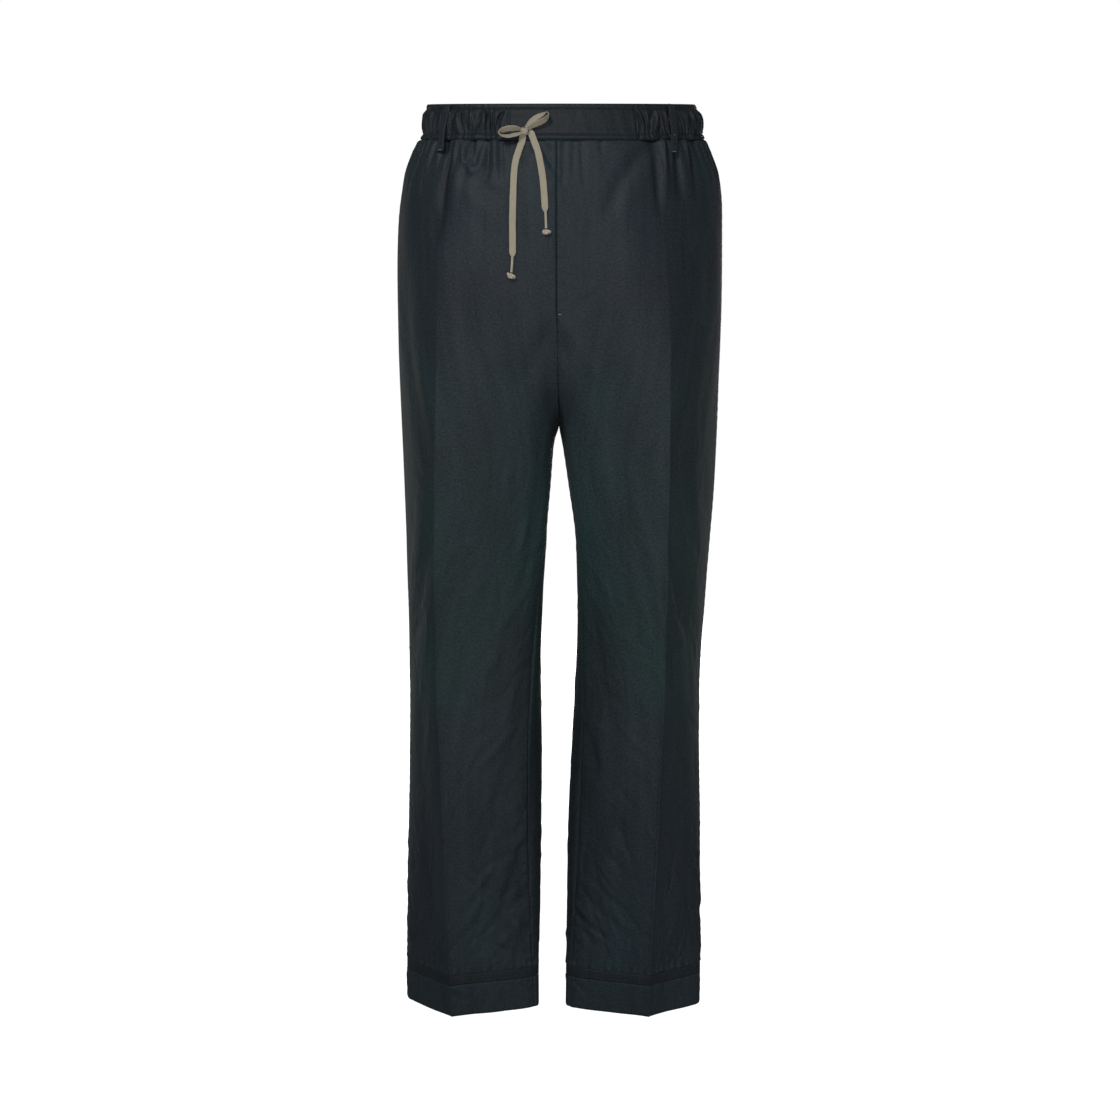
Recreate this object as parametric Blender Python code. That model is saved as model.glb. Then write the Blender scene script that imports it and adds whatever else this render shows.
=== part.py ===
"""Drawstring trousers of thin lustrous cloth, filled out and held up at the waist.

The garment faces -Y and the wearer's right side is -X. The origin is the middle of the waist
opening, half way up the waistband. Table values are millimetres: "drop" is measured down from
the waistband's top edge, widths are measured out from the middle, and depths run from front
(negative) to back (positive). Headings are degrees: 0 runs outward, 90 runs to the back,
180 runs inward, and a negative heading runs forward.
"""
import math
from collections import namedtuple
from functools import lru_cache

import bmesh
import bpy
import numpy as np
from mathutils import Vector

MM = 0.001

# Driving dimensions, in millimetres
OUTSEAM = 1050.0
BAND_HEIGHT = 39.0
CROTCH_DROP = 363.0
HEM_DEPTH = 50.0
SEAM_GAP = 0.3
CLOTH = 1.3
BAND_WALL = 2.0
HEM_WALL = 2.3
FACING_WALL = 1.2
FACING_GAP = 0.7
POCKET_FACING_GAP = 1.1
WAIST_TILT = 0.05
TILT_END_DROP = 260.0

RIGHT = -1
LEFT = 1

# Outline of each side, from the front: how far out the leg's outer edge, its inner edge, the
# front crease and the back crease stand, how much inside the inner edge the inseam shows on the
# front, and the depth at which the outer edge and its side seam lie
Outline = namedtuple("Outline", "drop outer inner crease back_crease inset side")
RIGHT_SIDE = (
    Outline(0, 150, 0, 108, 108, 0, 2),
    Outline(18, 153.5, 0, 111, 110, 0, 2),
    Outline(32, 154.5, 0, 114, 112, 0, 2),
    Outline(40, 158.5, 0, 116, 113, 0, 2),
    Outline(54, 166, 0, 120, 116, 0, 2),
    Outline(80, 176, 0, 125, 118, 0, 3),
    Outline(108, 181, 0, 129, 118, 0, 3),
    Outline(135, 183.8, 0, 131, 116, 0, 4),
    Outline(220, 186, 0, 135, 108, 0, 5),
    Outline(300, 184.5, 0, 137, 96, 0, 7),
    Outline(363, 181.5, 0.15, 138, 82, 0, 8),
    Outline(384, 180.5, 5.5, 138.5, 78, 0, 8),
    Outline(430, 179.5, 9.3, 139.5, 71, 0, 9),
    Outline(500, 177.8, 14.8, 140, 66, 0.5, 10),
    Outline(571, 176, 19.8, 139.8, 64, 4.6, 10),
    Outline(674, 175.3, 21.2, 138.5, 62, 11, 10),
    Outline(740, 176, 20.3, 136, 64, 15, 10),
    Outline(835, 178, 20, 132.5, 68, 16, 10),
    Outline(932, 180, 21.4, 129, 74, 12, 11),
    Outline(1000, 181.5, 23.8, 126, 79, 7, 12),
    Outline(1050, 181.8, 24, 125, 81, 4, 13),
)
LEFT_SIDE = (
    Outline(0, 155, 0, 108, 112, 0, 2),
    Outline(18, 161.5, 0, 110, 114, 0, 2),
    Outline(32, 163, 0, 111, 116, 0, 2),
    Outline(40, 166, 0, 112, 117, 0, 2),
    Outline(54, 172.5, 0, 113, 119, 0, 2),
    Outline(80, 182.5, 0, 114, 120, 0, 3),
    Outline(108, 186.8, 0, 114.5, 118, 0, 3),
    Outline(135, 187, 0, 115, 116, 0, 4),
    Outline(220, 187, 0, 122.5, 106, 0, 5),
    Outline(300, 186, 0, 124.5, 94, 0, 7),
    Outline(363, 182.8, 0.15, 124.7, 84, 0, 8),
    Outline(384, 183, 3, 124.6, 81, 0, 8),
    Outline(430, 180.8, 9.8, 124, 78, 0, 9),
    Outline(500, 176, 19, 122.5, 75, 0.5, 10),
    Outline(571, 170.5, 21.2, 121.5, 72, 3, 10),
    Outline(674, 165.5, 19, 119.4, 66, 9, 9),
    Outline(740, 165.3, 15.5, 117, 66, 11, 6),
    Outline(835, 166.8, 10.7, 113.5, 64, 11.5, 1),
    Outline(932, 167.4, 8.4, 108.5, 68, 9.5, -5),
    Outline(1000, 167.6, 8.2, 105.5, 70, 6, -9),
    Outline(1050, 167, 7.5, 104.4, 71.5, 4, -11),
)
OUTLINES = {RIGHT: RIGHT_SIDE, LEFT: LEFT_SIDE}

# Depths, the same on both sides: centre front and centre back down to the crotch, and from
# there the leg's inner edge, which both of them then name
Depth = namedtuple("Depth", "drop middle centre_front crease back_crease centre_back")
DEPTHS = (
    Depth(0, -2, -98, -73, 74, 102),
    Depth(40, -2, -104, -79, 81, 109),
    Depth(80, -2, -111, -87, 92, 120),
    Depth(135, -2, -117, -97, 108, 134),
    Depth(190, -2, -119, -103, 119, 141),
    Depth(235, -2, -116, -106, 125, 139),
    Depth(280, -1.4, -103, -107, 126, 124),
    Depth(312, -0.9, -84, -106, 124, 101),
    Depth(336, -0.5, -58, -105, 121, 71),
    Depth(350, -0.2, -35, -104, 118, 45),
    Depth(358, -0.1, -16, -103.5, 117, 25),
    Depth(363, 0, 4.85, -103, 116, 5.15),
    Depth(430, 0, 0, -98, 107, 0),
    Depth(500, 0, -3, -92, 99, -3),
    Depth(590, 0, -6, -86, 91, -6),
    Depth(674, 0, -9, -81, 86, -9),
    Depth(790, 0, -12, -76, 82, -12),
    Depth(908, 0, -16, -73, 79, -16),
    Depth(1050, 0, -20, -70, 78, -20),
)

# Headings of the cloth at the front and back creases, how sharply it turns there, how far it
# turns into the valley between the legs at the centre seams, and how full its sides are
Bend = namedtuple("Bend", "drop front front_corner back back_corner front_valley back_valley full")
BENDS = (
    Bend(0, 33, 0, 147, 0, 0, 0, 1.0),
    Bend(100, 36, 1, 147, 0, 0, 0, 1.0),
    Bend(200, 36, 7, 148, 3, 0, 0, 1.0),
    Bend(240, 34, 10, 151, 5, 6, 0, 1.0),
    Bend(280, 31, 14, 158, 8, 26, 16, 1.0),
    Bend(312, 28, 17, 166, 11, 48, 40, 1.0),
    Bend(336, 25, 19, 172, 14, 68, 66, 1.0),
    Bend(350, 24, 20, 176, 15, 79, 79, 1.0),
    Bend(358, 23, 21, 179, 16, 86, 86, 1.0),
    Bend(363, 23, 21, 180, 17, 90, 90, 1.0),
    Bend(430, 21, 24, 188, 20, 90, 90, 0.97),
    Bend(590, 18, 30, 196, 27, 90, 90, 0.9),
    Bend(790, 15, 36, 198, 33, 90, 90, 0.75),
    Bend(1050, 13, 41, 198, 38, 90, 90, 0.55),
)

# Rows of cloth: the gathered ones at the waist have a pair of columns for each fold
GATHERED_ROWS = (39.3, 47, 58, 74, 96)
FALLING_ROWS = (
    125, 160, 195, 228, 256, 280, 300, 318, 333, 345, 353, 359, 363, 370, 384, 405,
    435, 475, 520, 570, 625, 685, 745, 805, 865, 920, 965, 990, 999.4, 1001, 1013, 1050,
)
FRONT_INNER_COLUMNS = 8
FRONT_OUTER_COLUMNS = 5
BACK_OUTER_COLUMNS = 7
BACK_INNER_COLUMNS = 8

# Gathers: how many folds each stretch has, how deep they are and how far down they reach
FLAT_FRONT_RIGHT = 54.0
FLAT_FRONT_LEFT = 85.0
GATHER_STARTS = {RIGHT: 0.34, LEFT: 0.46}
FRONT_FOLDS = {RIGHT: 12, LEFT: 10}
BACK_FOLDS = 18
BAND_FOLDS = 72
PANEL_FOLD_DEPTH = 1.5
BAND_FOLD_DEPTH = 1.3
SHORTEST_FOLD = 34.0
LONGEST_FOLD = 92.0
GOLDEN = 0.618034

# Long soft folds that stand out of the legs. "panel" is F or B, "along" is the share of the
# panel's width, and "drift" is how much of that width the fold crosses on its way down
SoftFold = namedtuple("SoftFold", "side panel along top bottom width height drift")
SOFT_FOLDS = (
    SoftFold(RIGHT, "F", 0.84, 130, 330, 0.07, 2.2, 0.02),
    SoftFold(RIGHT, "F", 0.50, 120, 250, 0.09, 1.6, -0.05),
    SoftFold(RIGHT, "F", 0.34, 250, 520, 0.12, 2.4, 0.14),
    SoftFold(RIGHT, "F", 0.30, 560, 860, 0.10, 2.0, 0.16),
    SoftFold(RIGHT, "F", 0.86, 470, 800, 0.08, 1.4, -0.03),
    SoftFold(LEFT, "F", 0.86, 120, 310, 0.07, 2.0, 0.03),
    SoftFold(LEFT, "F", 0.44, 150, 360, 0.12, 2.0, 0.10),
    SoftFold(LEFT, "F", 0.30, 420, 700, 0.11, 2.2, 0.12),
    SoftFold(LEFT, "F", 0.36, 700, 940, 0.10, 1.6, 0.12),
    SoftFold(RIGHT, "B", 0.30, 120, 360, 0.09, 2.2, 0.05),
    SoftFold(RIGHT, "B", 0.62, 360, 560, 0.10, 2.6, -0.10),
    SoftFold(RIGHT, "B", 0.34, 600, 900, 0.10, 2.0, -0.08),
    SoftFold(LEFT, "B", 0.28, 130, 340, 0.09, 2.2, 0.04),
    SoftFold(LEFT, "B", 0.60, 370, 590, 0.10, 2.4, -0.09),
    SoftFold(LEFT, "B", 0.36, 640, 930, 0.10, 1.8, -0.06),
)

# Trims
FLY_WIDTH = 31.0
FLY_START = 41.0
FLY_BEND_DROP = 196.0
FLY_END = 233.0
FLY_FOOT_WIDTH = 3.0
FLY_EDGE = 1.0
FLY_STRAIGHT_ROWS = 5
FLY_ROUND_ROWS = 6
FLY_COLUMNS = 4
POCKET_TOP = 92.0
POCKET_BOTTOM = 224.0
POCKET_FACING_REACH = 0.11
HEM_BAND_TOP = 1000.5
HEM_BAND_BOTTOM = 1012.5
HEM_BAND_WALL = 0.9
LOOP_WIDTH = 9.5
LOOP_WALL = 1.6
LOOP_TOP_STAND_OFF = 0.6
LOOP_FOOT_STAND_OFF = 1.8
LOOP_BOW = 2.2
LOOP_STEPS = 7
LOOP_TOP_DROP = 0.6
Loop = namedtuple("Loop", "name side panel top_across bottom_across bottom_drop")
LOOPS = (
    Loop("belt_loop_front_right", RIGHT, "F", 122.5, 130.0, 52.0),
    Loop("belt_loop_front_left", LEFT, "F", 124.0, 126.5, 54.0),
    Loop("belt_loop_back", RIGHT, "B", 0.0, 0.0, 53.0),
)

# Drawstring tape and its ends
TAPE_WIDTH = 8.0
TAPE_WALL = 1.2
TAPE_STAND_OFF = 1.9
KNOT_ACROSS = -38.5
KNOT_DROP = 31.0
KNOT_SIZE = (10.5, 8.0, 10.5)
LOOP_END_WIDTH = 5.0
CORD_RADIUS = 1.5
END_KNOT_SIZE = (11.0, 7.5, 7.5)
END_KNOT_STAND_OFF = 0.6
END_KNOT_DROP = 0.4

# Routes of the two tails down the cloth: how far across and down each point lies
TailPoint = namedtuple("TailPoint", "across drop")
RIGHT_TAIL = (
    TailPoint(-39.8, 37.5), TailPoint(-41.5, 44), TailPoint(-45.8, 56), TailPoint(-48.4, 68),
    TailPoint(-49.6, 82), TailPoint(-50.4, 104), TailPoint(-50.9, 128), TailPoint(-50.9, 150),
    TailPoint(-50.8, 164), TailPoint(-51.0, 171),
)
RIGHT_CORD = (TailPoint(-51.1, 171.5), TailPoint(-51.5, 179), TailPoint(-52.2, 186.5))
LEFT_TAIL = (
    TailPoint(-31.0, 37.5), TailPoint(-27.5, 44), TailPoint(-23.2, 54), TailPoint(-20.0, 67),
    TailPoint(-17.6, 82), TailPoint(-16.2, 98), TailPoint(-15.4, 112), TailPoint(-14.7, 120.5),
)
LEFT_CORD = (TailPoint(-14.6, 121), TailPoint(-14.3, 129), TailPoint(-14.0, 137))
TAPE_TIP_SHARE = 0.4

# Bow: outlines of the two loops seen from the front, measured from the knot's middle, with how
# far each point stands out of the waistband, and how the tape's face turns at each point
LoopPoint = namedtuple("LoopPoint", "across up out face")
RIGHT_LOOP = (
    LoopPoint(-6.0, 1.7, 5.6, 50), LoopPoint(-11, 5.0, 8.6, 45), LoopPoint(-18, 6.2, 10.2, 40),
    LoopPoint(-25, 4.6, 10.0, 30), LoopPoint(-28.6, 0.2, 9.4, 15), LoopPoint(-25.5, -3.8, 9.0, 30),
    LoopPoint(-18, -4.8, 8.8, 40), LoopPoint(-11, -3.4, 8.0, 45), LoopPoint(-6.0, -1.7, 6.2, 50),
)
LEFT_LOOP = (
    LoopPoint(5.0, 3.3, 3.4, 90), LoopPoint(11, 7.8, 3.0, 90), LoopPoint(17, 13.0, 3.0, 90),
    LoopPoint(22.6, 17.6, 3.4, 90), LoopPoint(24.6, 19.2, 5.6, 90), LoopPoint(22.6, 17.6, 8.0, 90),
    LoopPoint(17, 13.0, 9.0, 90), LoopPoint(11, 7.8, 8.4, 90), LoopPoint(5.0, 3.3, 6.6, 90),
)
LEFT_LOOP_LEAN = 130.0

# Shape of the waistband down its height: a flat header, the gathered elastic, a flat ridge
BandRow = namedtuple("BandRow", "drop fold out")
BAND_ROWS = (
    BandRow(0, 0.1, 0.0),
    BandRow(5.5, 0.35, -0.3),
    BandRow(18, 1.0, 0.6),
    BandRow(31, 0.45, -0.3),
    BandRow(39, 0.5, 0.0),
)
BAND_FRONT_COLUMNS = 14

# Fineness of the lines that the shapes are read from
STEPS = 40
NORMAL_SHARE = 0.006
NORMAL_DROP = 2.0
BACK_FOLD_SHIFT = 30
BAND_STEPS = 240
PLAIN_COLUMNS = 4
SEARCH_STEPS = 30
OUT_PROBE = 5.0

# Finishes
DARK_CLOTH = (0.016, 0.020, 0.026)
BAND_CLOTH = (0.014, 0.018, 0.025)
HEM_CLOTH = (0.012, 0.015, 0.019)
FACING_CLOTH = (0.013, 0.016, 0.021)
TAPE_COLOUR = (0.30, 0.25, 0.19)
CORD_COLOUR = (0.45, 0.39, 0.31)
CLOTH_ROUGHNESS = 0.45
CORD_ROUGHNESS = 0.8
SHARP_ANGLE = 35

OUTWARD = Vector((0, -1, 0))


def smooth_step(value):
    """Ease from 0 to 1 as the value goes from 0 to 1."""
    value = min(1.0, max(0.0, value))
    return value * value * (3 - 2 * value)


def read(table, column, drop):
    """Value of a table's column at any drop, on a smooth curve that never overshoots its rows."""
    drops = [row.drop for row in table]
    values = [getattr(row, column) for row in table]
    drop = min(max(drop, drops[0]), drops[-1])
    last = len(table) - 1
    slopes = [(values[i + 1] - values[i]) / (drops[i + 1] - drops[i]) for i in range(last)]
    index = min(int(np.searchsorted(drops, drop, side="right")) - 1, last - 1)

    def tangent(row):
        if row in (0, last):
            return slopes[0] if row == 0 else slopes[-1]
        before = slopes[row - 1]
        after = slopes[row]
        return 0.0 if before * after <= 0 else 2 * before * after / (before + after)

    span = drops[index + 1] - drops[index]
    t = (drop - drops[index]) / span
    return (
        (1 + 2 * t) * (1 - t) ** 2 * values[index]
        + t * (1 - t) ** 2 * span * tangent(index)
        + t * t * (3 - 2 * t) * values[index + 1]
        + t * t * (t - 1) * span * tangent(index + 1)
    )


def height(drop, depth):
    """Height of a point of the garment; the waist tips down a little towards the front."""
    tilt = WAIST_TILT * (1 - smooth_step((drop - BAND_HEIGHT) / (TILT_END_DROP - BAND_HEIGHT)))
    return BAND_HEIGHT / 2 - drop + tilt * depth


class Path:
    """A dense line of points that is read by the share of its length."""

    def __init__(self, points):
        self.points = np.array(points)
        steps = np.linalg.norm(np.diff(self.points, axis=0), axis=1)
        self.marks = np.concatenate([[0.0], np.cumsum(steps)])
        self.length = self.marks[-1]

    def at(self, share):
        """Point at a share of the length."""
        target = min(max(share, 0.0), 1.0) * self.length
        return np.array([np.interp(target, self.marks, self.points[:, axis]) for axis in range(3)])

    def share_of(self, index):
        """Share of the length at one of the points."""
        return self.marks[index] / self.length


def arc(start, start_heading, end, end_heading, side, start_full=1.0, end_full=1.0):
    """Points of one smooth stretch of cloth between two places with given headings."""
    turn = abs(end_heading - start_heading)
    reach = np.linalg.norm(end - start) / math.cos(math.radians(turn) / 4) ** 2

    def direction(heading, full):
        angle = math.radians(heading)
        return np.array([side * math.cos(angle), math.sin(angle)]) * reach * full

    first = direction(start_heading, start_full)
    second = direction(end_heading, end_full)
    t = np.linspace(0, 1, STEPS + 1)[:, None]
    return (
        (1 + 2 * t) * (1 - t) ** 2 * start
        + t * (1 - t) ** 2 * first
        + t * t * (3 - 2 * t) * end
        + t * t * (t - 1) * second
    )


@lru_cache(maxsize=None)
def section(side, drop):
    """Front and back paths of one side at a drop, and the shares where their creases lie."""
    outline = {name: read(OUTLINES[side], name, drop) for name in Outline._fields[1:]}
    depth = {name: read(DEPTHS, name, drop) for name in Depth._fields[1:]}
    bend = {name: read(BENDS, name, drop) for name in Bend._fields[1:]}
    if drop <= CROTCH_DROP:
        middle = depth["middle"] + side * SEAM_GAP / 2
    else:
        middle = side * outline["inner"]
    start = np.array([middle, depth["centre_front"]])
    crease = np.array([side * outline["crease"], depth["crease"]])
    outer = np.array([side * outline["outer"], outline["side"]])
    back = np.array([side * outline["back_crease"], depth["back_crease"]])
    end = np.array([middle, depth["centre_back"]]) if drop <= CROTCH_DROP else start

    front_in = bend["front"] - bend["front_corner"]
    front_out = bend["front"] + bend["front_corner"]
    back_in = bend["back"] - bend["back_corner"]
    back_out = bend["back"] + bend["back_corner"]
    full = bend["full"]
    inner_front = arc(start, -bend["front_valley"], crease, front_in, side, full, 1.0)
    outer_front = arc(crease, front_out, outer, 90, side, 1.0, full)
    outer_back = arc(outer, 90, back, back_in, side, full, 1.0)
    inner_back = arc(back, back_out, end, 180 + bend["back_valley"], side, 1.0, full)

    cut = 0
    if outline["inset"] > 0:
        shown = np.abs(inner_front[:, 0]) >= outline["inner"] + outline["inset"]
        cut = int(np.argmax(shown))
        span = abs(inner_front[cut, 0]) - abs(inner_front[cut - 1, 0])
        part = (outline["inner"] + outline["inset"] - abs(inner_front[cut - 1, 0])) / span
        seam = inner_front[cut - 1] + part * (inner_front[cut] - inner_front[cut - 1])
        front_line = np.vstack([seam, inner_front[cut:], outer_front[1:]])
        back_line = np.vstack([outer_back, inner_back[1:], inner_front[1:cut], seam])
        crease_index = len(inner_front) - cut
    else:
        front_line = np.vstack([inner_front, outer_front[1:]])
        back_line = np.vstack([outer_back, inner_back[1:]])
        crease_index = STEPS

    def lifted(line):
        return Path([(x, y, height(drop, y)) for x, y in line])

    front_path = lifted(front_line)
    back_path = lifted(back_line)
    return {
        "F": front_path,
        "B": back_path,
        "F_crease": front_path.share_of(crease_index),
        "B_crease": back_path.share_of(STEPS),
    }


def gather(side, panel, along, drop):
    """How far a gather below the waist seam stands out of the cloth."""
    start = GATHER_STARTS[side] if panel == "F" else 0.0
    folds = FRONT_FOLDS[side] if panel == "F" else BACK_FOLDS
    if not start < along < 1:
        return 0.0
    phase = (along - start) / (1 - start) * folds
    number = int(phase) + (0 if panel == "F" else BACK_FOLD_SHIFT)
    reach = SHORTEST_FOLD + (LONGEST_FOLD - SHORTEST_FOLD) * ((number * GOLDEN) % 1.0)
    fade = 1 - smooth_step((drop - BAND_HEIGHT) / reach)
    return PANEL_FOLD_DEPTH * fade * math.sin(2 * math.pi * phase)


def soft_folds(side, panel, along, drop):
    """How far the long soft folds stand out of the cloth."""
    total = 0.0
    for fold in SOFT_FOLDS:
        if fold.side != side or fold.panel != panel or not fold.top < drop < fold.bottom:
            continue
        down = (drop - fold.top) / (fold.bottom - fold.top)
        away = (along - fold.along - fold.drift * down) / fold.width
        total += fold.height * math.sin(math.pi * down) * math.exp(-away * away)
    return total


def cloth_point(side, panel, along, drop, out=0.0):
    """A point of the cloth's outer face in metres, moved out of the garment by some millimetres."""
    path = section(side, drop)[panel]
    margin = SEAM_GAP / 2 / path.length
    share = min(max(along, margin), 1 - margin)
    here = path.at(share)
    across = path.at(share + NORMAL_SHARE) - path.at(share - NORMAL_SHARE)
    level = drop in (GATHERED_ROWS[0], OUTSEAM)
    above = section(side, drop - NORMAL_DROP)[panel].at(share)
    below = section(side, min(drop + NORMAL_DROP, OUTSEAM))[panel].at(share)
    down = np.array([0.0, 0.0, -1.0]) if level else below - above
    normal = np.cross(down, across) * side
    normal = normal / np.linalg.norm(normal)
    raised = gather(side, panel, along, drop) + soft_folds(side, panel, along, drop)
    return Vector((here + normal * (raised + out)) * MM)


def laid_point(side, panel, along, drop, out):
    """A point beside the cloth as its rows of flat facets really lie."""
    rows = GATHERED_ROWS + FALLING_ROWS
    below = next((row for row in rows if row >= drop), rows[-1])
    above = max((row for row in rows if row <= drop), default=rows[0])
    lower = cloth_point(side, panel, along, below, out)
    if above == below or drop <= rows[0]:
        return cloth_point(side, panel, along, drop, out)
    upper = cloth_point(side, panel, along, above, out)
    return upper.lerp(lower, (drop - above) / (below - above))


def columns(side, panel, drop):
    """Shares of the panel's width where a row has its points."""
    if drop in GATHERED_ROWS:
        start = GATHER_STARTS[side] if panel == "F" else 0.0
        folds = FRONT_FOLDS[side] if panel == "F" else BACK_FOLDS
        plain = [start * i / PLAIN_COLUMNS for i in range(PLAIN_COLUMNS + 1)] if start else [0.0]
        peaks = [start + (1 - start) * (i + 0.5) / (2 * folds) for i in range(2 * folds)]
        return plain + peaks + [1.0]
    crease = section(side, drop)[panel + "_crease"]
    if panel == "F":
        before, after = FRONT_INNER_COLUMNS, FRONT_OUTER_COLUMNS
    else:
        before, after = BACK_OUTER_COLUMNS, BACK_INNER_COLUMNS
    first = [crease * i / before for i in range(before)]
    second = [crease + (1 - crease) * i / after for i in range(after + 1)]
    return first + second


def stitch_rows(upper, lower, upper_at, lower_at):
    """Triangles between two rows of points that may differ in number."""
    faces = []
    i = 0
    j = 0
    while i < len(upper) - 1 or j < len(lower) - 1:
        step_upper = j == len(lower) - 1 or (i < len(upper) - 1 and upper_at[i + 1] <= lower_at[j + 1])
        if step_upper:
            faces.append((upper[i], lower[j], upper[i + 1]))
            i += 1
        else:
            faces.append((upper[i], lower[j], lower[j + 1]))
            j += 1
    return faces


def wall_mesh(outer_rows, inner_rows, shares, ring=False):
    """A closed wall between an outer and an inner grid of rows, as points and faces."""
    points = []
    grids = []
    for rows in (outer_rows, inner_rows):
        grid = []
        for row in rows:
            numbers = list(range(len(points), len(points) + len(row)))
            points.extend(row)
            grid.append(numbers + numbers[:1] if ring else numbers)
        grids.append(grid)
    marks = [list(row) + [1.0 + row[0]] if ring else list(row) for row in shares]
    outer, inner = grids
    faces = []
    for row in range(len(outer) - 1):
        faces += stitch_rows(outer[row], outer[row + 1], marks[row], marks[row + 1])
        inner_faces = stitch_rows(inner[row], inner[row + 1], marks[row], marks[row + 1])
        faces += [face[::-1] for face in inner_faces]

    def strip(first, second):
        for i in range(len(first) - 1):
            faces.append((first[i], first[i + 1], second[i + 1], second[i]))

    strip(outer[0], inner[0])
    strip(inner[-1], outer[-1])
    if not ring:
        strip([row[0] for row in inner], [row[0] for row in outer])
        strip([row[-1] for row in outer], [row[-1] for row in inner])
    return points, faces


def material(name, colour, roughness):
    """A plain cloth or cord finish."""
    finish = bpy.data.materials.new(name)
    finish.use_nodes = True
    shader = finish.node_tree.nodes["Principled BSDF"]
    shader.inputs["Base Color"].default_value = (*colour, 1.0)
    shader.inputs["Roughness"].default_value = roughness
    shader.inputs["Metallic"].default_value = 0.0
    finish.diffuse_color = (*colour, 1.0)
    return finish


def add_object(name, points, faces, colour, roughness=CLOTH_ROUGHNESS):
    """An object of one closed mesh, with its faces turned outward and its own finish."""
    mesh = bpy.data.meshes.new(name)
    mesh.from_pydata([tuple(point) for point in points], [], faces)
    editable = bmesh.new()
    editable.from_mesh(mesh)
    bmesh.ops.triangulate(editable, faces=editable.faces[:])
    bmesh.ops.recalc_face_normals(editable, faces=editable.faces[:])
    editable.to_mesh(mesh)
    editable.free()
    mesh.shade_smooth()
    mesh.set_sharp_from_angle(angle=math.radians(SHARP_ANGLE))
    mesh.materials.append(material(name, colour, roughness))
    item = bpy.data.objects.new(name, mesh)
    bpy.context.scene.collection.objects.link(item)
    return item


def wall_at(drop):
    """Thickness of the leg's wall, which is doubled where the hem is turned up inside."""
    return HEM_WALL if drop > OUTSEAM - HEM_DEPTH else CLOTH


def build_panel(name, side, panel):
    """One leg panel from the waist seam to the hem."""
    outer_rows = []
    inner_rows = []
    shares = []
    for drop in GATHERED_ROWS + FALLING_ROWS:
        row = columns(side, panel, drop)
        outer_rows.append([cloth_point(side, panel, along, drop) for along in row])
        inner_rows.append([cloth_point(side, panel, along, drop, -wall_at(drop)) for along in row])
        shares.append(row)
    points, faces = wall_mesh(outer_rows, inner_rows, shares)
    add_object(name, points, faces, DARK_CLOTH)


def front_share(side, across, drop):
    """Share of the front's width at which the cloth lies so far from the middle."""
    low = 0.0
    high = 1.0
    path = section(side, drop)["F"]
    for _ in range(SEARCH_STEPS):
        middle = (low + high) / 2
        if side * path.at(middle)[0] < side * across:
            low = middle
        else:
            high = middle
    return (low + high) / 2


def spot(across, drop, out):
    """A point on the front at a distance across, moved out of the cloth."""
    side = RIGHT if across < read(DEPTHS, "middle", drop) else LEFT
    return laid_point(side, "F", front_share(side, across, drop), drop, out)


def band_path(drop, first_share, last_share, through_back):
    """Path round the waistband between two shares of its right and left fronts."""
    halves = {}
    for side in (RIGHT, LEFT):
        parts = section(side, drop)
        halves[side] = Path(np.vstack([parts["F"].points, parts["B"].points[1:]]))
    if through_back:
        first = [halves[RIGHT].at(share) for share in np.linspace(first_share, 1, BAND_STEPS)]
        second = [halves[LEFT].at(share) for share in np.linspace(1, last_share, BAND_STEPS)]
    else:
        first = [halves[LEFT].at(share) for share in np.linspace(last_share, 0, BAND_STEPS)]
        second = [halves[RIGHT].at(share) for share in np.linspace(0, first_share, BAND_STEPS)]
    return Path(first + second[1:])


def band_rows(first_share, last_share, through_back, folds, columns_at):
    """Outer and inner rows of one stretch of the waistband."""
    outer_rows = []
    inner_rows = []
    for band_row in BAND_ROWS:
        path = band_path(band_row.drop, first_share, last_share, through_back)
        margin = SEAM_GAP / 2 / path.length
        outer_row = []
        inner_row = []
        for along in columns_at:
            share = min(max(along, margin), 1 - margin)
            here = path.at(share)
            across = path.at(share + NORMAL_SHARE / 2) - path.at(share - NORMAL_SHARE / 2)
            outward = np.array([across[1], -across[0], 0.0]) / np.linalg.norm(across[:2])
            outward *= math.copysign(1.0, np.dot(outward, here))
            out = 0.0
            if folds and 0 < along < 1:
                out = BAND_FOLD_DEPTH * band_row.fold * math.sin(2 * math.pi * folds * along)
            if folds:
                out += band_row.out
            outer_row.append(Vector((here + outward * out) * MM))
            inner_row.append(Vector((here + outward * (out - BAND_WALL)) * MM))
        outer_rows.append(outer_row)
        inner_rows.append(inner_row)
    return outer_rows, inner_rows


def half_share(side, across):
    """Share of half the waist at which the front's flat stretch ends."""
    drop = BAND_HEIGHT / 2
    parts = section(side, drop)
    front = front_share(side, side * across, drop) * parts["F"].length
    return front / (parts["F"].length + parts["B"].length)


def build_waistband():
    """The flat front stretch and the gathered elastic stretch of the waistband."""
    right_share = half_share(RIGHT, FLAT_FRONT_RIGHT)
    left_share = half_share(LEFT, FLAT_FRONT_LEFT)
    plain = [i / BAND_FRONT_COLUMNS for i in range(BAND_FRONT_COLUMNS + 1)]
    rows = band_rows(right_share, left_share, False, 0, plain)
    points, faces = wall_mesh(*rows, [plain] * len(BAND_ROWS))
    add_object("waistband_front", points, faces, BAND_CLOTH)

    peaks = [0.0] + [(i + 0.5) / (2 * BAND_FOLDS) for i in range(2 * BAND_FOLDS)] + [1.0]
    rows = band_rows(right_share, left_share, True, BAND_FOLDS, peaks)
    points, faces = wall_mesh(*rows, [peaks] * len(BAND_ROWS))
    add_object("waistband_elastic", points, faces, BAND_CLOTH)


def fly_reach(drop):
    """Width of the fly facing, which rounds in at its foot like the stitching's J."""
    if drop <= FLY_BEND_DROP:
        return FLY_WIDTH
    down = (drop - FLY_BEND_DROP) / (FLY_END - FLY_BEND_DROP)
    return max(FLY_FOOT_WIDTH, FLY_WIDTH * math.sqrt(max(0.0, 1 - down * down)))


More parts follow.
